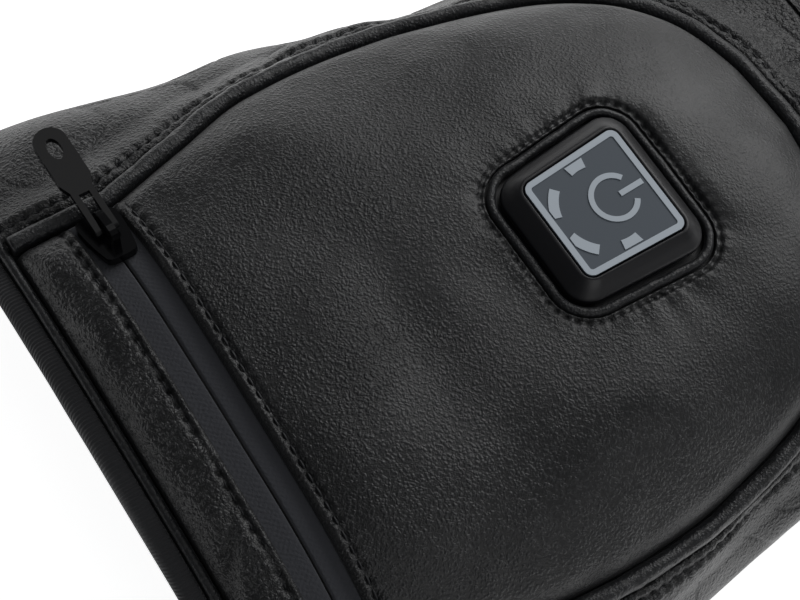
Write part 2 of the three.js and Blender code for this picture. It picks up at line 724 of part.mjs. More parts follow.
// A round cord through a line of points.
function cord(points, radius, closed = false) {
  const n = points.length;
  const at = (i) => (closed ? points[(i + n) % n] : points[Math.min(Math.max(i, 0), n - 1)]);
  const rings = points.map((middle, i) => {
    const along = new THREE.Vector3().subVectors(at(i + 1), at(i - 1)).normalize();
    const side = new THREE.Vector3().crossVectors(along, v3(0, 0, 1));
    if (side.lengthSq() < 0.01) side.set(0, 1, 0);
    side.normalize();
    const up = new THREE.Vector3().crossVectors(side, along);
    return evenly(0, TURN, CORD_SIDES)
      .slice(1)
      .map((angle) =>
        middle
          .clone()
          .addScaledVector(side, radius * Math.cos(angle))
          .addScaledVector(up, radius * Math.sin(angle)),
      );
  });
  return tube(rings, closed);
}

// The cord beside the binding runs over the back of the cuff from one side seam to the other.
const hemCordLine = bodyRing(CORD_Y, -GAP - HEM_CORD_RADIUS).slice(0, AROUND / 2);
add("hem_cord", cord(hemCordLine, HEM_CORD_RADIUS), trimLeather);

// The padded layer on the back of the cuff
const cuffRaised = tube(bodyRings(0).map((ring) => ring.map((p) => p.clone().add(v3(0, 0, GAP)))));
const LAYER_HALF = POCKET_WIDTH / 2 + PIPING_RADIUS;
const layerColumns = evenly(-LAYER_HALF, LAYER_HALF, 12);

// A sheet that follows the top layer between two depths below its surface.
function layerSheet(rows, above, below) {
  return sheet(
    rows.map((y) =>
      layerColumns.map((x) => {
        const top = layerTop(x, y);
        return { x, y, top: top - above, bottom: top - below };
      }),
    ),
  );
}

// The area inside the pocket's edge, narrowed by a margin, as a tall prism down to the hem.
function edgePrism(margin) {
  const n = edgeLine.length;
  const points = edgeLine.map((p, i) => {
    const before = edgeLine[Math.max(i - 1, 0)];
    const after = edgeLine[Math.min(i + 1, n - 1)];
    const along = new THREE.Vector2().subVectors(after, before).normalize();
    return new THREE.Vector2(p.x + along.y * margin, p.y - along.x * margin);
  });
  return prism(new THREE.Shape(points), 0, CUFF_HEIGHT * 2);
}

const between = (fromY, toY) => block(v3(-FAR, fromY, -FAR), v3(FAR, toY, FAR));
const BESIDE_PIPING = PIPING_RADIUS + GAP;
const DEEP = 2 * (EDGE_LIFT + POCKET_PUFF); // from the top layer to well under the cuff's surface

// One panel of the padded layer: leather over a hollow, its sewn edges resting on the cuff.
function paddedPanel(rows, hollowRows) {
  const first = rows[0];
  const last = rows[rows.length - 1];
  const full = layerSheet(rows, 0, DEEP)
    .intersect(edgePrism(BESIDE_PIPING))
    .intersect(between(first, last));
  const narrowed = edgePrism(BESIDE_PIPING + SEAT_WIDTH);
  const hollow = layerSheet(hollowRows, LEATHER, DEEP).intersect(narrowed);
  return full.subtract(cuffRaised).subtract(hollow);
}

const buttonPlace = v3(0, BUTTON_Y, layerTop(0, BUTTON_Y));

// Turns a place on the button's own plan into the place on the glove.
function onButton(x, y) {
  const widened = x * (1 + (BUTTON_TAPER * y) / (LABEL_SIDE / 2));
  const turn = BUTTON_TURN * DEGREE;
  return new THREE.Vector2(
    widened * Math.cos(turn) - y * Math.sin(turn),
    widened * Math.sin(turn) + y * Math.cos(turn) + BUTTON_Y,
  );
}

// A rounded square on the button's plan, as points.
function roundedSquare(side, corner, arc = 4) {
  const reach = side / 2 - corner;
  return [0, 1, 2, 3].flatMap((quarter) =>
    evenly(0, 1, arc).map((t) => {
      const angle = ((quarter + t) * Math.PI) / 2;
      const cornerX = quarter === 0 || quarter === 3 ? reach : -reach;
      const cornerY = quarter < 2 ? reach : -reach;
      return onButton(cornerX + corner * Math.cos(angle), cornerY + corner * Math.sin(angle));
    }),
  );
}
const squarePrism = (side, corner, low, high) =>
  prism(new THREE.Shape(roundedSquare(side, corner)), buttonPlace.z + low, buttonPlace.z + high);

const WELT_MIDDLE = CAP_SIDE + 2 * (WELT_CLEARANCE + WELT_RADIUS);
const OPENING_SIDE = WELT_MIDDLE + 2 * (WELT_RADIUS + GAP);
const OPENING_CORNER = CAP_CORNER + WELT_CLEARANCE + 2 * WELT_RADIUS + GAP;

const pocketRows = evenly(ZIP_SEAM_Y, POCKET_END_Y, 11);
const pocketHollow = [ZIP_MIDDLE_Y, ...pocketRows.slice(1)];
const buttonOpening = squarePrism(OPENING_SIDE, OPENING_CORNER, -DEEP, DEEP);
add("pocket_panel", paddedPanel(pocketRows, pocketHollow).subtract(buttonOpening), leather);

const stripRows = evenly(STRIP_HEM_Y, STRIP_SEAM_Y, 2);
const stripHollow = [STRIP_HEM_Y + SEAT_WIDTH, STRIP_SEAM_Y - SEAT_WIDTH, ZIP_MIDDLE_Y];
add("hem_strip", paddedPanel(stripRows, stripHollow), leather);

// Piping round the pocket, down to the hem
const pipingLine = edgeLine.map((p) => {
  const slope = (cuffTop(p.x + 1, p.y) - cuffTop(p.x - 1, p.y)) / 2;
  const stand = (PIPING_RADIUS + GAP) * Math.hypot(1, slope);
  return v3(p.x, p.y, cuffTop(p.x, p.y) + stand);
});
add("pocket_piping", cord(pipingLine, PIPING_RADIUS).subtract(cuffRaised), trimLeather);

// Zip tapes. Each runs out to the piping in the open and stops short of the sewn edge under the leather.
const TAPE_DEPTH = LEATHER + GAP;
const SLIT_HALF = GAP / 2;
function zipTape(seamY, outward) {
  const inner = ZIP_MIDDLE_Y + outward * SLIT_HALF;
  const open = seamY - outward * GAP;
  const hidden = seamY + outward * TAPE_HIDDEN;
  const rows = [inner, hidden].sort((p, q) => p - q);
  const made = layerSheet(rows, TAPE_DEPTH, TAPE_DEPTH + TAPE);
  const shown = between(...[inner, open].sort((p, q) => p - q));
  const openPart = edgePrism(BESIDE_PIPING).intersect(shown);
  const hiddenPart = edgePrism(BESIDE_PIPING + SEAT_WIDTH + GAP).intersect(between(rows[0], rows[1]));
  return made.intersect(openPart.add(hiddenPart)).subtract(cuffRaised);
}
add("zip_tape_hand", zipTape(ZIP_SEAM_Y, 1), tapeCloth);
add("zip_tape_hem", zipTape(STRIP_SEAM_Y, -1), tapeCloth);

// The coil lies under the tapes, where they meet.
const COIL_DEPTH = TAPE_DEPTH + TAPE + GAP;
const coilRows = [ZIP_MIDDLE_Y - COIL_WIDTH / 2, ZIP_MIDDLE_Y, ZIP_MIDDLE_Y + COIL_WIDTH / 2];
const coilEnds = edgePrism(BESIDE_PIPING + 2 * SEAT_WIDTH);
const coil = layerSheet(coilRows, COIL_DEPTH, COIL_DEPTH + COIL_HEIGHT).intersect(coilEnds);
add("zip_coil", coil.subtract(cuffRaised), coilPlastic);

// The slider lies on the tapes near the pocket's edge on the -X side, tilted as they are.
// Its front and tail corners are rounded over these shares of its length.
const FRONT_CORNER = 0.16;
const TAIL_CORNER = 0.14;
const sliderX = -pocketHalf(ZIP_MIDDLE_Y) + SLIDER_PLACE + SLIDER_LENGTH / 2;
const slider = new THREE.Group();
slider.position.set(sliderX, ZIP_MIDDLE_Y, layerTop(sliderX, ZIP_MIDDLE_Y) - TAPE_DEPTH + GAP);
slider.rotation.y = -slopeAt(sliderX, ZIP_MIDDLE_Y, SLIDER_LENGTH / 2);
glove.add(slider);

function sliderBody() {
  const front = -SLIDER_LENGTH / 2;
  const tail = SLIDER_LENGTH / 2;
  const frontEdge = front + SLIDER_LENGTH * FRONT_CORNER;
  const tailEdge = tail - SLIDER_LENGTH * TAIL_CORNER;
  const frontHalf = SLIDER_WIDTH / 2;
  const tailHalf = SLIDER_TAIL / 2;
  const shape = new THREE.Shape();
  shape.moveTo(frontEdge, -frontHalf);
  shape.quadraticCurveTo(front, -frontHalf, front, -frontHalf * 0.56);
  shape.lineTo(front, frontHalf * 0.56);
  shape.quadraticCurveTo(front, frontHalf, frontEdge, frontHalf);
  shape.quadraticCurveTo(0, frontHalf, tailEdge, tailHalf);
  shape.quadraticCurveTo(tail, tailHalf, tail, tailHalf * 0.4);
  shape.lineTo(tail, -tailHalf * 0.4);
  shape.quadraticCurveTo(tail, -tailHalf, tailEdge, -tailHalf);
  shape.quadraticCurveTo(0, -frontHalf, frontEdge, -frontHalf);
  return prism(shape, 0, SLIDER_PLATE, 3).add(bridge());
}

// The arch over the plate that holds the pull
function bridge() {
  const foot = -SLIDER_PLATE / 2;
  const shape = new THREE.Shape();
  // One side of the arch outside and back inside it, from its half-length and height
  const arch = (half, rise, way) => {
    shape.lineTo(-way * half, foot);
    shape.lineTo(-way * half, rise / 2);
    shape.quadraticCurveTo(-way * half, rise, -way * half * 0.4, rise);
    shape.lineTo(way * half * 0.4, rise);
    shape.quadraticCurveTo(way * half, rise, way * half, rise / 2);
    shape.lineTo(way * half, foot);
  };
  shape.moveTo(-BRIDGE_LENGTH / 2, foot);
  arch(BRIDGE_LENGTH / 2, BRIDGE_HEIGHT, 1);
  arch(BRIDGE_LENGTH / 2 - BRIDGE_WIRE, BRIDGE_HEIGHT - BRIDGE_WIRE, -1);
  const settings = { depth: BRIDGE_WIDTH, bevelEnabled: false, curveSegments: 3 };
  const made = new THREE.ExtrudeGeometry(shape, settings);
  made.translate(0, 0, -BRIDGE_WIDTH / 2);
  made.rotateX(Math.PI / 2);
  made.translate(0, 0, SLIDER_PLATE);
  return solid(made);
}
add("zip_slider", sliderBody(), darkMetal, slider);

// The pull hangs on its pin under the bridge and rests towards the side of the cuff.
const pull = new THREE.Group();
pull.position.set(0, 0, SLIDER_PLATE + PIN_HEIGHT);
pull.rotation.y = PULL_RAISE * DEGREE;
slider.add(pull);

function zipPull() {
  const inner = BRIDGE_WIDTH / 2 + PULL_CLEARANCE;
  const outerLeg = inner + PULL_LEG;
  const wide = PULL_WIDTH / 2;
  const neck = -PULL_LEG_LENGTH;
  const end = -PULL_LENGTH;
  const shape = new THREE.Shape();
  shape.moveTo(0, -outerLeg);
  shape.lineTo(0, -inner);
  shape.lineTo(neck, -inner);
  shape.lineTo(neck, inner);
  shape.lineTo(0, inner);
  shape.lineTo(0, outerLeg);
  shape.lineTo(neck - wide * 0.3, outerLeg);
  shape.lineTo(neck - wide, wide);
  shape.lineTo(end + wide, wide);
  shape.absarc(end + wide, 0, wide, Math.PI / 2, Math.PI * 1.5);
  shape.lineTo(neck - wide, -wide);
  shape.lineTo(neck - wide * 0.3, -outerLeg);
  shape.lineTo(0, -outerLeg);
  const hole = new THREE.Path();
  hole.absellipse(end + wide * 1.5, 0, wide * 0.75, wide * 0.42, 0, TURN, true);
  shape.holes.push(hole);
  const plate = prism(shape, -PULL_THICKNESS / 2, PULL_THICKNESS / 2, 8);
  const pinLength = 2 * outerLeg;
  const pin = solid(new THREE.CylinderGeometry(PIN_RADIUS, PIN_RADIUS, pinLength, 10));
  const eyes = [-1, 1].map((side) => {
    const eye = new THREE.CylinderGeometry(PULL_THICKNESS / 2, PULL_THICKNESS / 2, PULL_LEG, 10);
    return solid(eye.translate(0, side * (inner + PULL_LEG / 2), 0));
  });
  return union([plate, pin, ...eyes]);
}
add("zip_pull", zipPull(), darkMetal, pull);

// Button: a welt round the opening, a hidden housing plate, and the cap that is pressed
const weltDepth = WELT_RADIUS - LEATHER;
const weltLine = roundedSquare(WELT_MIDDLE, CAP_CORNER + WELT_CLEARANCE + WELT_RADIUS).map((p) =>
  v3(p.x, p.y, layerTop(p.x, p.y) + weltDepth),
);
const weltPoints = weltLine.filter((p, i) => p.distanceTo(weltLine.at(i - 1)) > GAP);
add("button_welt", cord(weltPoints, WELT_RADIUS, true), trimLeather);

const housingRows = evenly(BUTTON_Y - OPENING_SIDE, BUTTON_Y + OPENING_SIDE, 6);
const housing = layerSheet(housingRows, TAPE_DEPTH, TAPE_DEPTH + HOUSING_THICKNESS).intersect(
  squarePrism(OPENING_SIDE + 2 * HOUSING_MARGIN, OPENING_CORNER, -DEEP, DEEP),
);
add("button_housing", housing, capPlastic);

// The cap: a rounded square block with sloping sides, sunk on top for its label
function buttonCap() {
  const bottom = -TAPE_DEPTH + GAP + PRESS_TRAVEL;
  const rows = [
    { z: bottom, side: CAP_SIDE, corner: CAP_CORNER },
    { z: CAP_SKIRT, side: CAP_SIDE, corner: CAP_CORNER },
    { z: CAP_RISE - CAP_EDGE, side: CAP_TOP_SIDE + CAP_EDGE, corner: CAP_TOP_CORNER + CAP_EDGE },
    { z: CAP_RISE, side: CAP_TOP_SIDE, corner: CAP_TOP_CORNER },
  ];
  const made = tube(
    rows.map((row) =>
      roundedSquare(row.side, row.corner).map((p) => v3(p.x, p.y, buttonPlace.z + row.z)),
    ),
  );
  const floorOfRecess = CAP_RISE - LABEL_THICKNESS;
  return made.subtract(squarePrism(LABEL_SIDE + 2 * GAP, LABEL_CORNER + GAP, floorOfRecess, CAP_RISE + 1));
}
add("button_cap", buttonCap(), capPlastic, pressed);

const labelTop = CAP_RISE + MARK_GAP;
add(
  "button_label",
  squarePrism(LABEL_SIDE, LABEL_CORNER, labelTop - LABEL_THICKNESS, labelTop),
  labelPlastic,
  pressed,
);

// Printed marks lie on the label.
const markLow = labelTop + MARK_GAP;
const markHigh = markLow + MARK_THICKNESS;
const innerBorder = LABEL_SIDE - 2 * BORDER_WIDTH;
const border = squarePrism(LABEL_SIDE, LABEL_CORNER, markLow, markHigh).subtract(
  squarePrism(innerBorder, LABEL_CORNER - BORDER_WIDTH, markLow - 1, markHigh + 1),
);
add("label_border", border, printInk, pressed);

// A stretch of a ring round a place on the label, from one angle to another in degrees.
function arcMark(centreY, radius, width, fromDegrees, toDegrees) {
  const steps = Math.ceil((toDegrees - fromDegrees) / 15);
  const angles = evenly(fromDegrees * DEGREE, toDegrees * DEGREE, steps);
  const line = (reach) =>
    angles.map((angle) => onButton(reach * Math.cos(angle), centreY + reach * Math.sin(angle)));
  const shape = new THREE.Shape([...line(radius + width / 2), ...line(radius - width / 2).reverse()]);
  return prism(shape, buttonPlace.z + markLow, buttonPlace.z + markHigh);
}
const ring = arcMark(POWER_SHIFT, POWER_RADIUS, POWER_LINE, 90 + POWER_GAP, 450 - POWER_GAP);
add("power_ring", ring, printInk, pressed);

const barLow = POWER_SHIFT + BAR_START;
const barCorners = [
  [-1, 0],
  [1, 0],
  [1, 1],
  [-1, 1],
].map(([across, along]) => onButton((across * POWER_LINE) / 2, barLow + along * BAR_LENGTH));
const bar = prism(new THREE.Shape(barCorners), buttonPlace.z + markLow, buttonPlace.z + markHigh);
add("power_bar", bar, printInk, pressed);

const insideBorder = LABEL_CORNER - BORDER_WIDTH;
const markWindow = squarePrism(innerBorder - 2 * GAP, insideBorder, markLow - 1, markHigh + 1);
LEVEL_MARKS.forEach((row, i) => {
  const radius = row.radius * LEVEL_RADIUS;
  const mark = arcMark(0, radius, LEVEL_WIDTH, row.middle - row.half, row.middle + row.half);
  add(`level_mark_${i + 1}`, mark.intersect(markWindow), printInk, pressed);
});

export default glove;
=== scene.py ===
"""Looks of the heated glove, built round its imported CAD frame."""

import math

import bmesh
import bpy
import numpy as np
from mathutils import Matrix, Vector
from mathutils.kdtree import KDTree


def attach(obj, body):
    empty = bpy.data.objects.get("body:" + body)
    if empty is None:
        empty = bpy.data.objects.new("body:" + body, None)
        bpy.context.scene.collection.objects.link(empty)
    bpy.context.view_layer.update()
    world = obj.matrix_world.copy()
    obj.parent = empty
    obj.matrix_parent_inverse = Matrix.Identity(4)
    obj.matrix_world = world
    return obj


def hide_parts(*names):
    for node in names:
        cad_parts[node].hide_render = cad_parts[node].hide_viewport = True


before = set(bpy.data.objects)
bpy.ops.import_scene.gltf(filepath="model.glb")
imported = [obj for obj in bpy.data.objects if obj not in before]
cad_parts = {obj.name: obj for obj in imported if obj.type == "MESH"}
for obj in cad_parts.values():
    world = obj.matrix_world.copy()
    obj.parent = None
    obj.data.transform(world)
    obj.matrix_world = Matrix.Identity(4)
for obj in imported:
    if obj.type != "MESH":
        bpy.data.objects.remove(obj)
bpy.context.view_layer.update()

MM = 0.001

# Sizes of the glove in millimetres
GAP = 0.3
WALL = 3.0
LEATHER = 1.4
CUFF_LENGTH = 133.0
CUFF_WIDTH = 136.0
CUFF_HEIGHT = 40.0
WRIST_WIDTH = 100.0
PALM_LENGTH = 102.0
HAND_WIDTH = 110.0
HAND_HEIGHT = 37.0
POWER = 2.4
AXIS_SHARE = 0.43
WRIST_SEAM = 9.0
SIDE_BAND = 11.0
FINGER_LENGTH = 86.0
FINGER_WIDTH = 29.0
FINGER_HEIGHT = 27.5
THUMB_LENGTH = 86.0
THUMB_WIDTH = 31.0
THUMB_HEIGHT = 29.14
THUMB_ANGLE = math.radians(38)
THUMB_SEAM = 27.0
THUMB_ROOT = (0.42, 0.25)
ROOT_RAISE = 1.5
THUMB_RAISE = 0.5
TIP_BAND = 0.28
POCKET_WIDTH = 99.0
POCKET_LENGTH = 104.8
POCKET_END_Y = -6.0
POCKET_PUFF = 6.0
POCKET_RAMP = 24.0
EDGE_LIFT = 3.4
PIPING_RADIUS = 1.5
ZIP_OPENING = 7.4
BINDING_WIDTH = 3.4
BINDING_LAYER = 0.8
CORD_RADIUS = 0.8
HEM_RISE = 10.0
HEM_LEAN = 9.0
LEAN_REACH = 60.0
LEAN_TOP = 0.8
BUTTON_Y = -48.0
BUTTON_TURN = math.radians(3)
BUTTON_TAPER = 0.05
CAP_SIDE = 25.2
CAP_TOP_SIDE = 20.6
CAP_CORNER = 4.4
CAP_TOP_CORNER = 2.4
CAP_RISE = 2.9
LABEL_SIDE = 18.6
LABEL_CORNER = 1.5
MARK_THICKNESS = 0.12
BORDER_WIDTH = 1.0
POWER_RADIUS = 3.65
POWER_LINE = 0.9
POWER_SHIFT = 2.15
POWER_GAP = 33.0
BAR_LENGTH = 4.4
BAR_START = 1.15
LEVEL_RADIUS = 7.9
LEVEL_WIDTH = 1.7
WELT_RADIUS = 0.75
WELT_CLEARANCE = 0.7

HEM_Y = -CUFF_LENGTH
ZIP_SEAM_Y = POCKET_END_Y - POCKET_LENGTH
ZIP_MIDDLE_Y = ZIP_SEAM_Y - ZIP_OPENING / 2
STRIP_SEAM_Y = ZIP_SEAM_Y - ZIP_OPENING
CORD_Y = HEM_Y + BINDING_WIDTH + GAP + CORD_RADIUS
STRIP_HEM_Y = CORD_Y + CORD_RADIUS + GAP
BESIDE_PIPING = PIPING_RADIUS + GAP
TAPE_DEPTH = LEATHER + GAP

# Sections of the body: place along the cuff or hand, then shares of their sizes
CUFF_SECTIONS = [
    (-1, 1, 1),
    (-0.8, 0.86, 1.01),
    (-0.6, 0.64, 1.01),
    (-0.4, 0.34, 1),
    (-0.2, 0.12, 0.985),
    (0, 0, 0.97),
]
HAND_SECTIONS = [
    (0.2, 0.462, 0.47, 1.04),
    (0.45, 0.475, 0.485, 1.04),
    (0.7, 0.485, 0.495, 1.02),
    (0.9, 0.49, 0.5, 0.97),
    (1, 0.49, 0.5, 0.93),
]
HAND_END = [(0, 0.97), (0.3, 0.88), (0.5, 0.7)]

# Fingers: root and tip across the hand, length, girth and crotch, each a share of its size
FINGERS = [
    (-0.385, -0.49, 0.75, 0.88, 0.95),
    (-0.145, -0.185, 0.93, 0.96, 0.99),
    (0.115, 0.135, 1, 1, 1),
    (0.37, 0.455, 0.92, 0.98, 0.98),
]

# A finger's and the thumb's run: place along it, girth, and share of the way down to the floor
FINGER_RUN = [
    (-0.3, 0.9, 0),
    (-0.12, 0.98, 0),
    (0.08, 1, 0),
    (0.3, 1.01, 0),
    (0.52, 0.99, 0.12),
    (0.72, 0.95, 0.5),
    (1, 0.9, 1),
]
THUMB_RUN = [
    (-0.2, 0.98, 0),
    (0, 1.16, 0),
    (0.16, 1.14, 0),
    (0.36, 1.04, 0.1),
    (0.6, 0.98, 0.4),
    (1, 0.9, 1),
]
POCKET_OUTLINE = [
    (0, 0.417),
    (0.13, 0.455),
    (0.27, 0.494),
    (0.38, 0.5),
    (0.5, 0.494),
    (0.64, 0.467),
    (0.76, 0.428),
    (0.86, 0.367),
    (0.94, 0.272),
    (0.985, 0.14),
    (1, 0),
]
FULLNESS = [(0, 0.06), (0.3, 0.42), (0.65, 0.6), (1, 0.72), (1.6, 0.95), (2.4, 1)]
LEVEL_MARKS = [(180, 12, 0.93), (239, 18, 1), (301, 18, 1), (360, 12, 0.93)]


def smooth(rows, at):
    """The second column of a table at places along its first, by cubics that never overshoot."""
    keys, values = np.array(rows, float).T
    chord = np.diff(values) / np.diff(keys)
    slope = np.concatenate([chord[:1], np.zeros(len(keys) - 2), chord[-1:]])
    for i in range(1, len(keys) - 1):
        if chord[i - 1] * chord[i] > 0:
            slope[i] = 2 * chord[i - 1] * chord[i] / (chord[i - 1] + chord[i])
    at = np.clip(at, keys[0], keys[-1])
    i = np.clip(np.searchsorted(keys, at, side="right") - 1, 0, len(keys) - 2)
    span = keys[i + 1] - keys[i]
    t = (at - keys[i]) / span
    return (
        values[i] * (1 + 2 * t) * (1 - t) ** 2
        + values[i + 1] * (3 - 2 * t) * t**2
        + slope[i] * span * t * (1 - t) ** 2
        - slope[i + 1] * span * t**2 * (1 - t)
    )


def ease(value):
    value = np.clip(value, 0, 1)
    return value * value * (3 - 2 * value)


def bump(distance, width):
    return np.exp(-((distance / width) ** 2))


body_rows = []
for along, flare, height in CUFF_SECTIONS:
    half = (WRIST_WIDTH + (CUFF_WIDTH - WRIST_WIDTH) * flare) / 2
    body_rows.append((along * CUFF_LENGTH, -half, half, height * CUFF_HEIGHT))
for along, little, index, height in HAND_SECTIONS:
    body_rows.append((along * PALM_LENGTH, -little * HAND_WIDTH, index * HAND_WIDTH, height * HAND_HEIGHT))
BODY_LEFT = [(row[0], row[1]) for row in body_rows]
BODY_RIGHT = [(row[0], row[2]) for row in body_rows]
BODY_TOP = [(row[0], row[3]) for row in body_rows]


def section(y):
    """Centre and half-sizes of the body's section at y."""
    left, right, top = smooth(BODY_LEFT, y), smooth(BODY_RIGHT, y), smooth(BODY_TOP, y)
    axis = top * AXIS_SHARE
    return (left + right) / 2, axis, (right - left) / 2, top - axis


def underside(y):
    return (BINDING_LAYER + GAP) * (1 - ease((y - CORD_Y) / HEM_RISE))


def lean(y, z):
    """How far the hem's slant moves a place towards the wrist."""
    under = np.clip(1 - z / (LEAN_TOP * CUFF_HEIGHT), 0, 1)
    return HEM_LEAN * under * ease((LEAN_REACH - (y - HEM_Y)) / LEAN_REACH)


def body_point(angle, y, inset=0.0):
    """A point on the body's section at y, flat where it would sink below the floor."""
    cx, cz, a, b = section(y)
    cosine, sine = np.cos(angle), np.sin(angle)
    x = cx + (a - inset) * np.sign(cosine) * np.abs(cosine) ** (2 / POWER)
    z = cz + (b - inset) * np.sign(sine) * np.abs(sine) ** (2 / POWER)
    z = np.maximum(z, underside(y) + inset)
    return np.stack([x, y + lean(y, z), z], -1)


def cuff_top(x, y):
    cx, cz, a, b = section(y)
    out = np.minimum(np.abs((x - cx) / a), 0.999)
    return cz + b * (1 - out**POWER) ** (1 / POWER)


def pocket_half(y):
    return smooth(POCKET_OUTLINE, (y - ZIP_SEAM_Y) / POCKET_LENGTH) * POCKET_WIDTH


def resample(points, count):
    """Points spaced evenly along a line."""
    steps = np.linalg.norm(np.diff(points, axis=0), axis=1)
    along = np.concatenate([[0], np.cumsum(steps)])
    at = np.linspace(0, along[-1], count)
    return np.stack([np.interp(at, along, points[:, k]) for k in range(points.shape[1])], -1)


def edge_path(start_y, count):
    """The pocket's edge in plan, from the hem on the -X side round the end to the hem on the other."""
    t = np.sin(np.linspace(0, math.pi / 2, 500))
    y = start_y + (POCKET_END_Y - start_y) * t
    x = pocket_half(y)
    side = np.stack([x, y], -1)
    return resample(np.concatenate([side * [-1, 1], side[:-1][::-1]]), count)


EDGE = edge_path(STRIP_HEM_Y, 400)


def edge_distance(x, y):
    """Distance in plan to the pocket's edge."""
    flat = np.stack([np.ravel(x), np.ravel(y)], -1)
    start, step = EDGE[:-1], np.diff(EDGE, axis=0)
    best = np.full(len(flat), np.inf)
    for low in range(0, len(flat), 4000):
        part = flat[low : low + 4000, None] - start[None]
        t = np.clip((part * step).sum(-1) / (step**2).sum(-1), 0, 1)
        gap = part - t[..., None] * step
        best[low : low + 4000] = np.sqrt((gap**2).sum(-1)).min(1)
    return best.reshape(np.shape(x))


def layer_top(x, y):
    """Top of the padded layer on the back of the cuff."""
    inside = np.where(np.abs(x) < pocket_half(y), edge_distance(x, y), 0)
    rise = np.minimum(inside / POCKET_RAMP, 1)
    full = smooth(FULLNESS, (y - STRIP_HEM_Y) / (ZIP_SEAM_Y - STRIP_HEM_Y))
    return cuff_top(x, y) + EDGE_LIFT + POCKET_PUFF * rise * (2 - rise) * full


def waves(points, length, seed, count=16):
    """Smooth noise of about unit size, a sum of waves in random directions."""
    rng = np.random.default_rng(seed)
    direction = rng.normal(size=(count, 3))
    direction /= np.linalg.norm(direction, axis=1)[:, None]
    lengths = length * rng.uniform(0.7, 1.5, count)
    phase = rng.uniform(0, 2 * math.pi, count)
    turns = points @ (direction * 2 * math.pi / lengths[:, None]).T
    return np.cos(turns + phase).sum(-1) * math.sqrt(2 / count)


# Meshes


def grid_faces(rows, columns, start=0, wrap=False, flip=False):
    """Quads over a grid of points, closed round its columns if it wraps."""
    across = columns if wrap else columns - 1
    r, c = np.meshgrid(np.arange(rows - 1), np.arange(across), indexing="ij")
    d = (c + 1) % columns
    quads = np.stack([r * columns + c, r * columns + d, (r + 1) * columns + d, (r + 1) * columns + c], -1)
    quads = quads.reshape(-1, 4) + start
    return quads[:, ::-1] if flip else quads


def build(name, points, faces, material, replaces=(), body="glove", run=None, flat=False):
    """A mesh in millimetres as a piece that rides on a body."""
    points = np.asarray(points, float).reshape(-1, 3) * MM
    faces = np.asarray(faces)
    data = bpy.data.meshes.new(name)
    data.vertices.add(len(points))
    data.vertices.foreach_set("co", points.ravel())
    size = faces.shape[1]
    data.loops.add(faces.size)
    data.loops.foreach_set("vertex_index", faces.ravel())
    data.polygons.add(len(faces))
    data.polygons.foreach_set("loop_start", np.arange(0, faces.size, size))
    data.polygons.foreach_set("use_smooth", np.full(len(faces), not flat))
    data.update(calc_edges=True)
    if run is not None:
        corners = np.zeros((faces.size, 2))
        corners[:, 0] = np.ravel(run)[faces.ravel()] * MM
        data.uv_layers.new(name="run").data.foreach_set("uv", corners.ravel())
    data.validate()
    data.materials.append(material)
    piece = bpy.data.objects.new(name, data)
    bpy.context.scene.collection.objects.link(piece)
    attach(piece, body)
    if replaces:
        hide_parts(*replaces)
    return piece


def grid_normals(points, wrap=False):
    """Unit normals of a grid of points."""
    if wrap:
        padded = np.concatenate([points[:, -1:], points, points[:, :1]], 1)
        across = np.gradient(padded, axis=1)[:, 1:-1]
    else:
        across = np.gradient(points, axis=1)
    along = np.gradient(points, axis=0)
    normal = np.cross(across, along)
    return normal / np.maximum(np.linalg.norm(normal, axis=-1, keepdims=True), 1e-9)


def sleeve(top, bottom, wrap=False):
    """Points and quads of a closed piece between two grids of the same size."""
    rows, columns = top.shape[:2]
    count = rows * columns
    faces = [grid_faces(rows, columns, 0, wrap), grid_faces(rows, columns, count, wrap, flip=True)]
    rims = [np.arange(columns), count - columns + np.arange(columns)]
    if not wrap:
        rims += [np.arange(rows) * columns, np.arange(rows) * columns + columns - 1]
    for k, rim in enumerate(rims):
        if wrap:
            rim = np.append(rim, rim[0])
        quads = np.stack([rim[:-1], rim[1:], rim[1:] + count, rim[:-1] + count], -1)
        faces.append(quads if k in (1, 2) else quads[:, ::-1])
    return np.concatenate([top.reshape(-1, 3), bottom.reshape(-1, 3)]), np.concatenate(faces)


def frames_along(path, closed=False):
    """Unit directions along a line of points."""
    if closed:
        step = np.roll(path, -1, 0) - np.roll(path, 1, 0)
    else:
        step = np.gradient(path, axis=0)
    return step / np.maximum(np.linalg.norm(step, axis=-1, keepdims=True), 1e-9)


def tube(path, up, radius, sides=14, closed=False):
    """Points and quads of a round cord along a line; up is roughly across it. Open ends are closed."""
    along = frames_along(path, closed)
    side = np.cross(along, up)
    side /= np.linalg.norm(side, axis=-1, keepdims=True)
    over = np.cross(side, along)
    radius = np.broadcast_to(radius, (len(path), sides))
    angle = np.arange(sides) / sides * 2 * math.pi
    ring = side[:, None] * np.cos(angle)[:, None] + over[:, None] * np.sin(angle)[:, None]
    points = path[:, None] + ring * radius[..., None]
    if closed:
        points = np.concatenate([points, points[:1]])
        faces = grid_faces(len(path) + 1, sides, 0, wrap=True)
        last = len(path) * sides
        faces = np.where(faces >= last, faces - last, faces)
        return points[:-1].reshape(-1, 3), faces
    ends = np.concatenate([points[:1] * 0 + path[0], points, points[:1] * 0 + path[-1]])
    return ends.reshape(-1, 3), grid_faces(len(path) + 2, sides, 0, wrap=True)


def join(parts):
    """Several (points, quads) as one."""
    points, faces, start = [], [], 0
    for part_points, part_faces in parts:
        points.append(part_points)
        faces.append(part_faces + start)
        start += len(part_points)
    return np.concatenate(points), np.concatenate(faces)


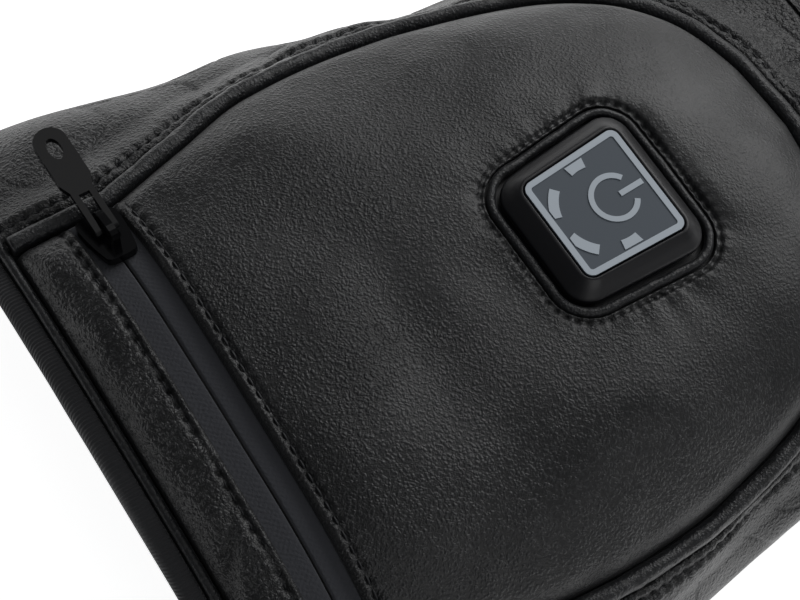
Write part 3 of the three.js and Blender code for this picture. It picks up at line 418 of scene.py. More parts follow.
def stitches(path, up, pitch=2.4, length=1.85, radius=0.2, closed=False):
    """Points and quads of a row of stitches along a line on a surface."""
    if closed:
        path, up = np.concatenate([path, path[:1]]), np.concatenate([up, up[:1]])
    steps = np.linalg.norm(np.diff(path, axis=0), axis=1)
    along = np.concatenate([[0], np.cumsum(steps)])
    count = int(along[-1] / pitch)
    middles = (np.arange(count) + 0.5) * along[-1] / count
    rings, sides = 7, 6
    t = np.linspace(-0.5, 0.5, rings)
    at = middles[:, None] + t * length
    line = np.stack([np.interp(at, along, path[:, k]) for k in range(3)], -1)
    normal = np.stack([np.interp(at, along, up[:, k]) for k in range(3)], -1)
    normal /= np.linalg.norm(normal, axis=-1, keepdims=True)
    direction = np.gradient(line, axis=1)
    direction /= np.linalg.norm(direction, axis=-1, keepdims=True)
    side = np.cross(direction, normal)
    arch = 1 - (2 * t) ** 4
    line = line + normal * (arch * 1.3 - 1.05)[:, None] * radius
    angle = np.arange(sides) / sides * 2 * math.pi
    swell = radius * np.sqrt(np.clip(1 - (2 * t * 0.98) ** 4, 0.02, 1))
    ring = side[..., None, :] * np.cos(angle)[:, None] + normal[..., None, :] * np.sin(angle)[:, None]
    points = line[..., None, :] + ring * swell[:, None, None]
    faces = grid_faces(rings, sides, 0, wrap=True)
    starts = np.arange(count) * rings * sides
    return points.reshape(-1, 3), (faces[None] + starts[:, None, None]).reshape(-1, 4)


# Materials


def node(tree, kind, inputs=None, **settings):
    made = tree.nodes.new(kind)
    for key, value in settings.items():
        setattr(made, key, value)
    for key, value in (inputs or {}).items():
        if isinstance(value, bpy.types.NodeSocket):
            tree.links.new(value, made.inputs[key])
        else:
            made.inputs[key].default_value = value
    return made


def finish_material(name, colour, roughness, **extra):
    """A material with its node tree and its shader."""
    made = bpy.data.materials.new(name)
    made.use_nodes = True
    tree = made.node_tree
    shader = tree.nodes["Principled BSDF"]
    shader.inputs["Base Color"].default_value = (*colour, 1)
    shader.inputs["Roughness"].default_value = roughness
    for key, value in extra.items():
        shader.inputs[key.replace("_", " ")].default_value = value
    return made, tree, shader


def maths(tree, operation, first, second=0.0, third=0.0):
    return node(tree, "ShaderNodeMath", {0: first, 1: second, 2: third}, operation=operation).outputs[0]


def pebbles(tree, place, cell, rounded=True):
    """Grains of the given size in millimetres, 1 on their tops and 0 between them."""
    inputs = {"Vector": place, "Scale": 1000 / cell}
    if rounded:
        inputs["Smoothness"] = 0.3
    feature = "SMOOTH_F1" if rounded else "F1"
    distance = node(tree, "ShaderNodeTexVoronoi", inputs, feature=feature).outputs["Distance"]
    return node(
        tree,
        "ShaderNodeMapRange",
        {0: distance, 1: 0.12, 2: 0.64, 3: 1.0, 4: 0.0},
        interpolation_type="SMOOTHSTEP",
    ).outputs[0]


def leather(name, colour, cell, depth, roughness, sheen=0.05, calm=None):
    """Grained leather: uneven grains of the given size in millimetres, parted by fine creases, its colour
    darkened in the creases as painted shade.
    """
    made, tree, shader = finish_material(name, colour, roughness)
    shader.inputs["Sheen Weight"].default_value = sheen
    shader.inputs["Sheen Roughness"].default_value = 0.6
    place = node(tree, "ShaderNodeTexCoord").outputs["Object"]
    origin = place
    for scale, push in ((300.0, 0.001), (1100.0, 0.0005)):
        warp = node(tree, "ShaderNodeTexNoise", {"Vector": place, "Scale": scale, "Detail": 2.0})
        place = node(
            tree,
            "ShaderNodeVectorMath",
            {0: warp.outputs["Color"], 1: (push, push, push), 2: place},
            operation="MULTIPLY_ADD",
        ).outputs[0]
    large = pebbles(tree, place, cell)
    small = pebbles(tree, place, cell * 0.47, rounded=False)
    fine = node(tree, "ShaderNodeTexNoise", {"Vector": place, "Scale": 4200.0, "Detail": 2.0}).outputs["Fac"]
    broad = node(tree, "ShaderNodeTexNoise", {"Vector": place, "Scale": 60.0, "Detail": 3.0}).outputs["Fac"]
    amount = node(tree, "ShaderNodeMapRange", {0: broad, 1: 0.35, 2: 0.65, 3: 0.45, 4: 1.0}).outputs[0]
    height = maths(tree, "MULTIPLY_ADD", small, 0.4, large)
    height = maths(tree, "MULTIPLY", height, amount)
    if calm:
        along = node(tree, "ShaderNodeSeparateXYZ", {0: origin}).outputs[1]
        near, far, least = calm
        fade = node(tree, "ShaderNodeMapRange", {0: along, 1: near * MM, 2: far * MM, 3: 1.0, 4: least})
        height = maths(tree, "MULTIPLY", height, fade.outputs[0])
    height = maths(tree, "MULTIPLY_ADD", fine, 0.25, height)
    raised = node(
        tree, "ShaderNodeBump", {"Height": height, "Strength": 1.0, "Distance": depth * MM}
    ).outputs["Normal"]
    tree.links.new(raised, shader.inputs["Normal"])
    limits = {1: 0.3, 2: 0.7, 3: roughness - 0.05, 4: roughness + 0.07}
    rough = node(tree, "ShaderNodeMapRange", {0: broad, **limits})
    tree.links.new(rough.outputs[0], shader.inputs["Roughness"])
    # painted shade: the colour falls to a third of itself between the grains, where shade falls in the
    # creases
    painted_crease_shade = tuple(0.35 * c for c in colour)
    crease_shaded_colour = node(tree, "ShaderNodeMix", {0: large, 6: (*painted_crease_shade, 1), 7: (*colour, 1)}, data_type="RGBA")
    tree.links.new(crease_shaded_colour.outputs[2], shader.inputs["Base Color"])
    return made


def ribbed(name, colour, pitch, depth):
    """Ribbed tape: ribs across its length, which the first UV coordinate measures in metres."""
    made, tree, shader = finish_material(name, colour, 0.75)
    shader.inputs["Sheen Weight"].default_value = 0.15
    flat = node(tree, "ShaderNodeUVMap", uv_map="run").outputs[0]
    run = node(tree, "ShaderNodeSeparateXYZ", {0: flat}).outputs[0]
    wave = maths(tree, "SINE", maths(tree, "MULTIPLY", run, 2 * math.pi / (pitch * MM)))
    place = node(tree, "ShaderNodeTexCoord").outputs["Object"]
    fine = node(tree, "ShaderNodeTexNoise", {"Vector": place, "Scale": 3000.0, "Detail": 2.0}).outputs["Fac"]
    height = maths(tree, "MULTIPLY_ADD", fine, 0.9, maths(tree, "MULTIPLY", wave, 0.5))
    raised = node(tree, "ShaderNodeBump", {"Height": height, "Strength": 1.0, "Distance": depth * MM})
    tree.links.new(raised.outputs["Normal"], shader.inputs["Normal"])
    return made


def woven(name, colour, pitch, depth):
    """Plain woven tape with slightly uneven threads of the given pitch in millimetres."""
    made, tree, shader = finish_material(name, colour, 0.85)
    shader.inputs["Sheen Weight"].default_value = 0.2
    place = node(tree, "ShaderNodeTexCoord").outputs["Object"]
    warp = node(tree, "ShaderNodeTexNoise", {"Vector": place, "Scale": 500.0, "Detail": 1.0})
    place = node(
        tree,
        "ShaderNodeVectorMath",
        {0: warp.outputs["Color"], 1: (0.0005, 0.0005, 0.0005), 2: place},
        operation="MULTIPLY_ADD",
    ).outputs[0]
    parts = node(tree, "ShaderNodeSeparateXYZ", {0: place}).outputs
    turns = math.pi / (pitch * MM)
    across = maths(tree, "SINE", maths(tree, "MULTIPLY", parts[0], turns))
    along = maths(tree, "SINE", maths(tree, "MULTIPLY", parts[1], turns))
    thread = maths(tree, "MULTIPLY", across, along)
    fine = node(tree, "ShaderNodeTexNoise", {"Vector": place, "Scale": 2600.0, "Detail": 3.0}).outputs["Fac"]
    height = maths(tree, "MULTIPLY_ADD", fine, 1.6, maths(tree, "MULTIPLY", thread, 0.3))
    raised = node(tree, "ShaderNodeBump", {"Height": height, "Strength": 1.0, "Distance": depth * MM})
    tree.links.new(raised.outputs["Normal"], shader.inputs["Normal"])
    return made


def speckled(name, colour, roughness, scale, depth, **extra):
    """A plain finish with a fine, uneven surface."""
    made, tree, shader = finish_material(name, colour, roughness, **extra)
    place = node(tree, "ShaderNodeTexCoord").outputs["Object"]
    fine = node(tree, "ShaderNodeTexNoise", {"Vector": place, "Scale": scale, "Detail": 3.0}).outputs["Fac"]
    raised = node(tree, "ShaderNodeBump", {"Height": fine, "Strength": 1.0, "Distance": depth * MM})
    tree.links.new(raised.outputs["Normal"], shader.inputs["Normal"])
    return made


PANEL = leather("leather_pocket", (0.0066, 0.0073, 0.0092), 0.58, 0.13, 0.4, calm=(-95, -20, 0.3))
GRAINED = leather("leather_cuff", (0.0066, 0.0073, 0.0092), 0.68, 0.17, 0.4)
HAND = leather("leather_hand", (0.0075, 0.008, 0.0097), 0.8, 0.14, 0.42)
TRIM = leather("leather_trim", (0.0066, 0.0078, 0.011), 0.55, 0.07, 0.4)
CLOTH = woven("woven_tape", (0.04, 0.042, 0.05), 0.5, 0.07)
BINDING = ribbed("binding_cloth", (0.01, 0.0105, 0.013), 0.6, 0.16)
LINING = speckled("lining_fleece", (0.02, 0.021, 0.024), 0.95, 1400.0, 0.4, Sheen_Weight=0.3)
THREAD = speckled("thread", (0.007, 0.0075, 0.01), 0.55, 5000.0, 0.04)
COIL = speckled("coil_plastic", (0.01, 0.01, 0.012), 0.4, 1500.0, 0.01)
METAL = speckled("slider_black", (0.002, 0.002, 0.0025), 0.12, 900.0, 0.02, Specular_IOR_Level=0.4)
CAP = speckled("cap_plastic", (0.004, 0.004, 0.006), 0.38, 2500.0, 0.01)
LABEL = speckled("label_plastic", (0.078, 0.096, 0.118), 0.6, 2500.0, 0.006)
INK = speckled("printed_ink", (0.5, 0.56, 0.62), 0.6, 2500.0, 0.006)

# The cuff, unrolled: distance from its middle line over the top, and y
UNROLL_Y = np.linspace(HEM_Y - 1, WRIST_SEAM + 1, 110)
UNROLL_ANGLE = np.linspace(math.pi / 2, 0, 300)
_table = body_point(UNROLL_ANGLE[None, :], UNROLL_Y[:, None])
_steps = np.linalg.norm(np.diff(_table[..., [0, 2]], axis=1), axis=-1)
ARC = np.concatenate([np.zeros((len(UNROLL_Y), 1)), np.cumsum(_steps, axis=1)], 1)
SHARES = np.linspace(0, 1, 300)
ANGLES = np.array([np.interp(SHARES * row[-1], row, UNROLL_ANGLE) for row in ARC])


def table_at(table, rows, columns, y, column):
    """A table with even rows and columns, at places between them."""
    r = np.clip((y - rows[0]) / (rows[1] - rows[0]), 0, len(rows) - 1.001)
    c = np.clip((column - columns[0]) / (columns[1] - columns[0]), 0, len(columns) - 1.001)
    r0, c0 = r.astype(int), c.astype(int)
    fr, fc = r - r0, c - c0
    low = table[r0, c0] * (1 - fc) + table[r0, c0 + 1] * fc
    high = table[r0 + 1, c0] * (1 - fc) + table[r0 + 1, c0 + 1] * fc
    return low * (1 - fr) + high * fr


def side_arc(y):
    """Unrolled distance from the middle line to the side seam."""
    return np.interp(y, UNROLL_Y, ARC[:, -1])


def unrolled(x, y):
    cx, _, a, _ = section(y)
    angle = np.arccos(np.clip(np.abs(x - cx) / a, 0, 1) ** (POWER / 2))
    return np.sign(x - cx) * table_at(ARC, UNROLL_Y, UNROLL_ANGLE, y, angle)


def rolled(q, y):
    """The point on the cuff at unrolled places."""
    angle = table_at(ANGLES, UNROLL_Y, SHARES, y, np.abs(q) / side_arc(y))
    return body_point(np.where(q >= 0, angle, math.pi - angle), y)


# The piping's middle line and its foot on the cuff
def piping_line(path):
    x, y = path.T
    slope_x = (cuff_top(x + 0.5, y) - cuff_top(x - 0.5, y))
    slope_y = (cuff_top(x, y + 0.5) - cuff_top(x, y - 0.5))
    normal = np.stack([-slope_x, -slope_y, np.ones_like(x)], -1)
    normal /= np.linalg.norm(normal, axis=-1, keepdims=True)
    stand = BESIDE_PIPING * np.hypot(1, slope_x)
    middle = np.stack([x, y, cuff_top(x, y) + stand], -1)
    return middle, normal


def stitch_marks(run, across, pitch, seed):
    """Relief of a sewn line: a groove with a needle hole at each stitch's end and puckers beside it."""
    place = np.stack([run, 0 * run, 0 * run], -1)
    uneven = 1 + 0.3 * waves(place, 9, seed)
    to_hole = np.abs((run / pitch + 0.5) % 1 - 0.5) * pitch
    groove = -0.45 * uneven * bump(across, 0.5)
    holes = -0.45 * uneven * bump(to_hole, 0.42) * bump(across, 0.42)
    puckers = -0.1 * np.cos(run * 2 * math.pi / pitch) * bump(across, 1.5)
    return groove + holes + puckers


# Back of the cuff beyond the piping, from the fold beside it down to the side seams
LIP = 1.9  # how high the side panel's folded edge stands against the piping
FOLD = 0.9
STITCH_AWAY = 2.1
PITCH = 2.4


def cuff_back():
    columns = 680
    start = HEM_Y + BINDING_LAYER + GAP
    path = edge_path(start, columns)
    middle, normal = piping_line(path)
    foot = middle - normal * BESIDE_PIPING
    q, y = unrolled(foot[:, 0], foot[:, 1]), foot[:, 1]
    flat = np.stack([q, y], -1)
    along = frames_along(flat)
    outward = np.stack([-along[:, 1], along[:, 0]], -1)
    end_turn = ease((y - start) / 6)
    outward[:, 1] *= end_turn
    outward /= np.linalg.norm(outward, axis=-1, keepdims=True)

    corner_y = -24.0
    left_end = int(np.argmax(y > corner_y))
    right_start = columns - left_end
    top_y = WRIST_SEAM - GAP / 2
    outer_y = np.full(columns, top_y)
    outer_y[: left_end + 1] = np.linspace(start, top_y, left_end + 1)
    outer_y[right_start - 1 :] = np.linspace(top_y, start, columns - right_start + 1)
    share = np.ones(columns)
    share[: left_end + 1] = -1
    share[left_end : right_start] = np.linspace(-1, 1, right_start - left_end)
    outer = np.stack([share * side_arc(outer_y), outer_y], -1)

    edge = PIPING_RADIUS - 0.05
    steps = [-0.6, 0, 0.12, 0.3, 0.5, 0.7, 0.9, 1.15, 1.4, 1.7, 1.95, 2.1, 2.3, 2.6, 3, 3.5, 4.1, 4.8]
    near = np.array(steps) + edge
    rows = [flat + outward * distance for distance in near]
    last = rows[-1]
    for t in np.linspace(0, 1, 40)[1:]:
        rows.append(last * (1 - t) + outer * t)
    grid = np.array(rows)
    base = rolled(grid[..., 0], grid[..., 1])
    up = grid_normals(base)
    if up[5, columns // 2, 2] < 0:
        up = -up

    distance = np.linalg.norm(grid - flat, axis=-1)
    distance[0] *= -1
    s = distance - edge
    roll = np.sqrt(np.clip(1 - (1 - np.clip(s / FOLD, 0, 1)) ** 2, 0, 1))
    lip = LIP * roll * (1 - ease((s - FOLD) / 8))
    place = base.copy()
    run = np.linspace(0, 1, columns)[None] * 330
    fade = np.exp(-np.clip(s, 0, None) / 6)
    wrinkle = waves(np.stack([run + 0 * s, 0.35 * s, 0 * s], -1), 9, 3) * 0.22 * fade
    sewn = stitch_marks(run + 0 * s, s - STITCH_AWAY, PITCH, 7)
    soft = waves(place, 34, 5) * 0.55 + waves(place, 13, 6) * 0.16
    to_seam = np.minimum(side_arc(grid[..., 1]) - np.abs(grid[..., 0]), WRIST_SEAM - grid[..., 1])
    seam = -0.9 * (1 - np.sqrt(np.clip(1 - (1 - np.clip(to_seam / 1.3, 0, 1)) ** 2, 0, 1)))
    calm = ease(s / 3) * ease(to_seam / 5)
    crease = -0.22 * bump(waves(place, 17, 8), 0.1) * ease((s - 3) / 4)
    raised = lip + sewn * (s > 0) + wrinkle * ease(s / 1.2) + (soft + crease) * calm + seam
    top = place + up * raised[..., None]
    bottom = place - up * 1.2
    points, faces = sleeve(top, bottom)
    build("cuff_back", points, faces, GRAINED, ["cuff_back_panel"])
    row = int(np.argmin(np.abs(near - edge - STITCH_AWAY)))
    return top[row], up[row]


def cuff_palm():
    angle = np.linspace(math.pi, 2 * math.pi, 170)[:, None]
    y = np.linspace(HEM_Y + BINDING_LAYER + GAP, WRIST_SEAM - GAP / 2, 150)[None]
    base = body_point(angle, y)
    up = grid_normals(base)
    middle_normal = up[10, 75]
    if middle_normal[0] > 0:
        up = -up
    edge = np.minimum(angle - math.pi, 2 * math.pi - angle) * 60
    seam = -0.9 * (1 - np.sqrt(np.clip(1 - (1 - np.clip(np.abs(edge) / 1.3, 0, 1)) ** 2, 0, 1)))
    soft = np.minimum(waves(base, 30, 15) * 0.3 - 0.25, 0)
    top = base + up * (seam + soft * ease(edge / 6))[..., None]
    bottom = base - up * 1.2
    points, faces = sleeve(top, bottom)
    build("cuff_palm", points, faces, GRAINED, ["cuff_palm_panel"])


def cuff_lining():
    angle = np.linspace(0, 2 * math.pi, 181)[:-1][None]
    y = np.linspace(HEM_Y + 1.2, WRIST_SEAM, 90)[:, None]
    near_hem = ease((HEM_Y + 14 - y) / 12)
    outer = body_point(angle, y, 1.3)
    inner = body_point(angle, y, WALL - 1.0 * near_hem)
    quilt = waves(inner, 12, 21) * 0.15
    centre = np.array([0, 0, 1.0]) * section(y)[1][..., None]
    inward = centre - inner * [1, 0, 1]
    inward /= np.linalg.norm(inward, axis=-1, keepdims=True)
    inner = inner + inward * quilt[..., None]
    points, faces = sleeve(outer, inner, wrap=True)
    build("cuff_lining", points, faces, LINING)


# The padded pocket panel
def rounded_square(side, corner, steps):
    """A rounded square on the button's plan, as places on the glove in order round it."""
    reach = side / 2 - corner
    angles = np.linspace(0, math.pi / 2, steps + 1)
    parts = []
    for quarter in range(4):
        turn = angles + quarter * math.pi / 2
        cx = reach if quarter in (0, 3) else -reach
        cy = reach if quarter < 2 else -reach
        parts.append(np.stack([cx + corner * np.cos(turn), cy + corner * np.sin(turn)], -1))
    return on_button(np.concatenate(parts))


def on_button(plan):
    x, y = plan[..., 0], plan[..., 1]
    widened = x * (1 + BUTTON_TAPER * y / (LABEL_SIDE / 2))
    cosine, sine = math.cos(BUTTON_TURN), math.sin(BUTTON_TURN)
    return np.stack([widened * cosine - y * sine, widened * sine + y * cosine + BUTTON_Y], -1)


def closed_path(points, count):
    return resample(np.concatenate([points, points[:1]]), count + 1)[:-1]


WELT_MIDDLE = CAP_SIDE + 2 * (WELT_CLEARANCE + WELT_RADIUS)
OPENING_SIDE = WELT_MIDDLE + 2 * (WELT_RADIUS + GAP)
OPENING_CORNER = CAP_CORNER + WELT_CLEARANCE + 2 * WELT_RADIUS + GAP
BUTTON_TOP = float(layer_top(np.array([0.0]), np.array([BUTTON_Y]))[0])
ROLL = 2.6
TOPSTITCH = 1.75


def round_over(distance, radius):
    """How far a rounded edge has fallen, as a share, at a distance from it."""
    return 1 - np.sqrt(np.clip(1 - (1 - np.clip(distance / radius, 0, 1)) ** 2, 0, 1))


def panel_dents(x, y):
    """Hollows and folds of the pocket's leather."""
    dents = -0.9 * np.exp(-(((x - 3) / 13) ** 2) - ((y + 84) / 6.5) ** 2)
    dents += 0.35 * np.exp(-(((x - 6) / 15) ** 2) - ((y + 95) / 5) ** 2)
    dents -= 0.5 * np.exp(-(((x + 30) / 8) ** 2) - ((y + 62) / 16) ** 2)
    place = np.stack([x, y, 0 * x], -1)
    return dents + waves(place, 30, 31) * 0.28 + waves(place, 11, 32) * 0.07


def panel_height(x, y, from_edge, from_zip, from_opening):
    z = layer_top(x, y)
    z = z - (EDGE_LIFT - 0.7) * round_over(from_edge, ROLL)
    z = z - 1.7 * round_over(from_zip, 1.2)
    z = z - 0.5 * round_over(from_opening, 0.6)
    inner = ease(from_edge / 8) * ease(from_opening / 4) * ease((from_zip - 1) / 6)
    z = z + panel_dents(x, y) * inner
    z = z + stitch_marks(x, from_zip - TOPSTITCH, PITCH, 9) * ease(from_edge / 3)
    z = z + 0.25 * bump(from_zip - 0.8, 0.6)
    run = np.arctan2(y - BUTTON_Y, x) * 20
    z = z + stitch_marks(run, from_opening - 0.7, PITCH * 0.8, 11) * 0.6
    z = z - 0.25 * bump(from_opening - 0.6, 0.45)
    ripple = waves(np.stack([np.cos(run / 20) * 20, np.sin(run / 20) * 20, 0 * run], -1), 5, 33)
    z = z + 0.16 * ripple * np.exp(-from_opening / 3.5) * ease(from_opening / 1.2)
    edge_ripple = waves(np.stack([x, y, 0 * x], -1), 7, 34)
    return z + 0.12 * edge_ripple * np.exp(-from_edge / 5) * ease(from_edge / 2)


def line_distance(points, line, closed=False):
    """Distance of places in plan to a line."""
    if closed:
        line = np.concatenate([line, line[:1]])
    flat = points.reshape(-1, 2)
    start, step = line[:-1], np.diff(line, axis=0)
    size = np.maximum((step**2).sum(-1), 1e-9)
    best = np.full(len(flat), np.inf)
    for low in range(0, len(flat), 4000):
        part = flat[low : low + 4000, None] - start[None]
        t = np.clip((part * step).sum(-1) / size, 0, 1)
        gap = part - t[..., None] * step
        best[low : low + 4000] = np.sqrt((gap**2).sum(-1)).min(1)
    return best.reshape(points.shape[:-1])


def panel_outline():
    """Outline of the pocket panel in plan: along the zip, up the +X side, round the end and back."""
    path = EDGE.copy()
    along = frames_along(path)
    inside = path + np.stack([along[:, 1], -along[:, 0]], -1) * BESIDE_PIPING
    inside = inside[inside[:, 1] > ZIP_SEAM_Y]
    left, right = inside[0], inside[-1]
    corner_left = np.array([left[0], ZIP_SEAM_Y])
    corner_right = np.array([right[0], ZIP_SEAM_Y])
    bottom = np.linspace(corner_left, corner_right, 120)
    sides = np.concatenate([bottom, inside[::-1]])
    return sides


def pocket_panel():
    columns, rows = 640, 77
    outline = closed_path(panel_outline(), columns)
    opening = closed_path(rounded_square(OPENING_SIDE, OPENING_CORNER, 24), 600)
    centre = np.array([0, BUTTON_Y])
    angle = np.arctan2(outline[:, 1] - BUTTON_Y, outline[:, 0])
    opening_angle = np.arctan2(opening[:, 1] - BUTTON_Y, opening[:, 0])
    order = np.argsort(opening_angle)
    ordered = opening_angle[order]
    reach = np.linalg.norm(opening - centre, axis=1)[order]
    ordered = np.concatenate([ordered - 2 * math.pi, ordered, ordered + 2 * math.pi])
    inner_reach = np.interp(angle, ordered, np.tile(reach, 3))
    inner = centre + np.stack([np.cos(angle), np.sin(angle)], -1) * inner_reach[:, None]
    t = (1 - np.cos(np.linspace(0, math.pi, rows))) / 2
    plan = inner[None] * (1 - t)[:, None, None] + outline[None] * t[:, None, None]
    x, y = plan[..., 0], plan[..., 1]
    from_edge = np.maximum(edge_distance(x, y) - BESIDE_PIPING, 0)
    from_zip = np.maximum(y - ZIP_SEAM_Y, 0)
    from_opening = line_distance(plan, opening, closed=True)
    z = panel_height(x, y, from_edge, from_zip, from_opening)
    top = np.stack([x, y, z], -1)
    thick = 0.35 + 0.85 * ease(np.minimum(np.minimum(from_edge, from_zip), from_opening) / 3)
    bottom = top - np.stack([0 * x, 0 * x, thick], -1)
    points, faces = sleeve(top, bottom, wrap=True)
    piece = build("pocket", points, faces[:, ::-1], PANEL, ["pocket_panel"])
    return opening


def hem_strip():
    columns, rows = 260, 34
    v = np.linspace(0, 1, rows)[:, None]
    u = np.linspace(-1, 1, columns)[None]
    y = STRIP_HEM_Y + (STRIP_SEAM_Y - STRIP_HEM_Y) * v + 0 * u
    half = pocket_half(y) - BESIDE_PIPING
    x = u * half
    place = np.stack([x, y, 0 * x], -1)
    z = layer_top(x, y)
    from_side = half - np.abs(x)
    from_hem = y - STRIP_HEM_Y
    from_zip = STRIP_SEAM_Y - y
    z = z - (EDGE_LIFT - 0.7) * round_over(from_side, ROLL)
    z = z - 2.6 * round_over(from_hem, 2.4)
    z = z - 1.7 * round_over(from_zip, 1.2)
    inner = ease(from_side / 5) * ease(from_hem / 3) * ease(from_zip / 3)
    z = z + 0.55 * np.sin(math.pi * np.clip(v, 0, 1)) * inner
    z = z + stitch_marks(x, from_zip - TOPSTITCH, PITCH, 13)
    z = z + 0.25 * bump(from_zip - 0.8, 0.6)
    fold = (x - 17.8) * 0.9 + (y + 124) * 1.4
    z = z - 0.75 * bump(fold, 1.9) * bump(y + 125, 3.4)
    z = z + 0.35 * bump(fold - 3, 2.2) * bump(y + 124, 3.6)
    z = z + (waves(place, 15, 41) * 0.2 + waves(place, 6, 42) * 0.08) * inner
    top = np.stack([x, y, z], -1)
    bottom = top - np.array([0, 0, 0.8])
    points, faces = sleeve(top, bottom)
    piece = build("hem_padding", points, faces, GRAINED, ["hem_strip"])


def topstitch(seam_y, away):
    """The line of stitches along one leather edge of the zip, and the way up from it."""
    y = seam_y + away * TOPSTITCH
    half = float(pocket_half(np.array([y]))[0]) - BESIDE_PIPING - 1.2
    x = np.linspace(-half, half, 200)
    ys = np.full_like(x, y)
    z = layer_top(x, ys) - 0.3
    up = np.stack([0 * x, 0 * x, 0 * x + 1], -1)
    return np.stack([x, ys, z], -1), up


def piping():
    path = edge_path(STRIP_HEM_Y + 0.2, 620)
    middle, normal = piping_line(path)
    run = np.linspace(0, 330, len(path))
    sides = 16
    angle = np.arange(sides) / sides * 2 * math.pi
    along, around = np.meshgrid(run, angle, indexing="ij")
    place = np.stack([along, np.cos(around) * 3, np.sin(around) * 3], -1)
    radius = PIPING_RADIUS * (1 + 0.03 * waves(place, 7, 51)) + 0.03 * waves(place, 2.6, 52)
    points, faces = tube(middle, normal, radius, sides)
    build("piping", points, faces, TRIM, ["pocket_piping"])


def welt():
    plan = closed_path(rounded_square(WELT_MIDDLE, CAP_CORNER + WELT_CLEARANCE + WELT_RADIUS, 20), 260)
    z = layer_top(plan[:, 0], plan[:, 1]) + WELT_RADIUS - LEATHER
    path = np.column_stack([plan, z])
    up = np.tile([0.0, 0.0, 1.0], (len(path), 1))
    sides = 16
    angle = np.arange(sides) / sides * 2 * math.pi
    place = path[:, None] + np.stack([0 * angle, np.cos(angle), np.sin(angle)], -1)
    radius = WELT_RADIUS * (1 + 0.05 * waves(place, 4, 55))
    points, faces = tube(path, up, radius, sides, closed=True)
    build("welt", points, faces, TRIM, ["button_welt"])


def zip_tapes():
    for name, seam_y, outward in (("hand", ZIP_SEAM_Y, 1), ("hem", STRIP_SEAM_Y, -1)):
        rows, columns = 26, 240
        v = np.linspace(0, 1, rows)[:, None] ** 1.3
        inner = ZIP_MIDDLE_Y + outward * GAP / 2
        hidden = seam_y + outward * 1.4
        y = inner + (hidden - inner) * v
        half = pocket_half(y) - BESIDE_PIPING - 0.1
        x = np.linspace(-1, 1, columns)[None] * half
        y = y + 0 * x
        from_slit = np.abs(y - inner)
        z = layer_top(x, y) - TAPE_DEPTH
        z = z + 0.12 * bump(from_slit - 0.8, 1.5) - 0.5 * round_over(from_slit, 0.35)
        place = np.stack([x, y, 0 * x], -1)
        z = z + waves(place, 14, 61) * 0.07
        top = np.stack([x, y, z], -1)
        bottom = top - np.array([0, 0, 0.45])
        if outward < 0:
            top, bottom = top[::-1], bottom[::-1]
        points, faces = sleeve(top, bottom)
        build("tape_" + name, points, faces, CLOTH, ["zip_tape_" + name])


def hem_cord():
    angle = np.linspace(0.06, math.pi - 0.06, 360)
    y = np.full_like(angle, CORD_Y)
    path = body_point(angle, y, -GAP - CORD_RADIUS)
    centre = np.array([0, CORD_Y, section(np.array([CORD_Y]))[1][0]])
    up = path - centre
    up /= np.linalg.norm(up, axis=-1, keepdims=True)
    points, faces = tube(path, up, CORD_RADIUS, 14)
    build("hem_ridge", points, faces, TRIM, ["hem_cord"])


def hem_binding():
    """Ribbed tape folded round the hem."""
    around = 900
    angle = np.linspace(0, 2 * math.pi, around + 1)[:-1]
    outside, inside = -GAP - BINDING_LAYER, WALL - 0.7
    middle, spread = (inside + outside) / 2, (inside - outside) / 2
    end = HEM_Y + BINDING_WIDTH
    turn = HEM_Y + spread
    profile = [(end + 0.1, outside + 0.6), (end - 0.05, outside + 0.15)]
    profile += [(end - 0.25 + (turn - end + 0.25) * t, outside) for t in np.linspace(0, 1, 8)]
    for t in np.linspace(0, math.pi, 13)[1:-1]:
        profile.append((turn - spread * math.sin(t), middle - spread * math.cos(t)))
    profile += [(turn + (end - turn) * t, inside) for t in np.linspace(0, 1, 6)]
    shown = np.stack([body_point(angle, np.full(around, y), 0) for y, _ in profile])
    toward = np.stack([-shown[..., 0], 0 * shown[..., 0], section(np.array([HEM_Y]))[1] - shown[..., 2]], -1)
    toward /= np.linalg.norm(toward, axis=-1, keepdims=True)
    inset = np.array([depth for _, depth in profile])[:, None]
    points = shown + toward * (inset - waves(shown, 12, 71) * 0.08)[..., None]
    points[..., 2] = np.maximum(points[..., 2], 0.02)
    within = shown + toward * (inset + 0.45 * np.sign(middle - inset))[..., None]
    within[..., 1] = np.maximum(within[..., 1], HEM_Y + 0.5 + lean(HEM_Y, within[..., 2]))
    within[..., 2] = np.maximum(within[..., 2], 0.3)
    steps = np.linalg.norm(np.diff(shown[4], axis=0, append=shown[4][:1]), axis=-1)
    run = np.tile(np.cumsum(steps), 2 * len(profile))
    made_points, faces = sleeve(points, within, wrap=True)
    build("hem_tape", made_points, faces[:, ::-1], BINDING, ["hem_binding"], run=run)


# The button
def loft(rows, steps=14):
    """A stack of rounded squares as a closed piece: (height above the leather, side, corner)."""
    rings = []
    for height, side, corner in rows:
        plan = rounded_square(side, corner, steps)
        rings.append(np.column_stack([plan, np.full(len(plan), BUTTON_TOP + height)]))
    low, high = rings[0].mean(0), rings[-1].mean(0)
    rings = [np.tile(low, (len(rings[0]), 1)), *rings, np.tile(high, (len(rings[0]), 1))]
    grid = np.array(rings)
    return grid.reshape(-1, 3), grid_faces(len(rings), grid.shape[1], 0, wrap=True)


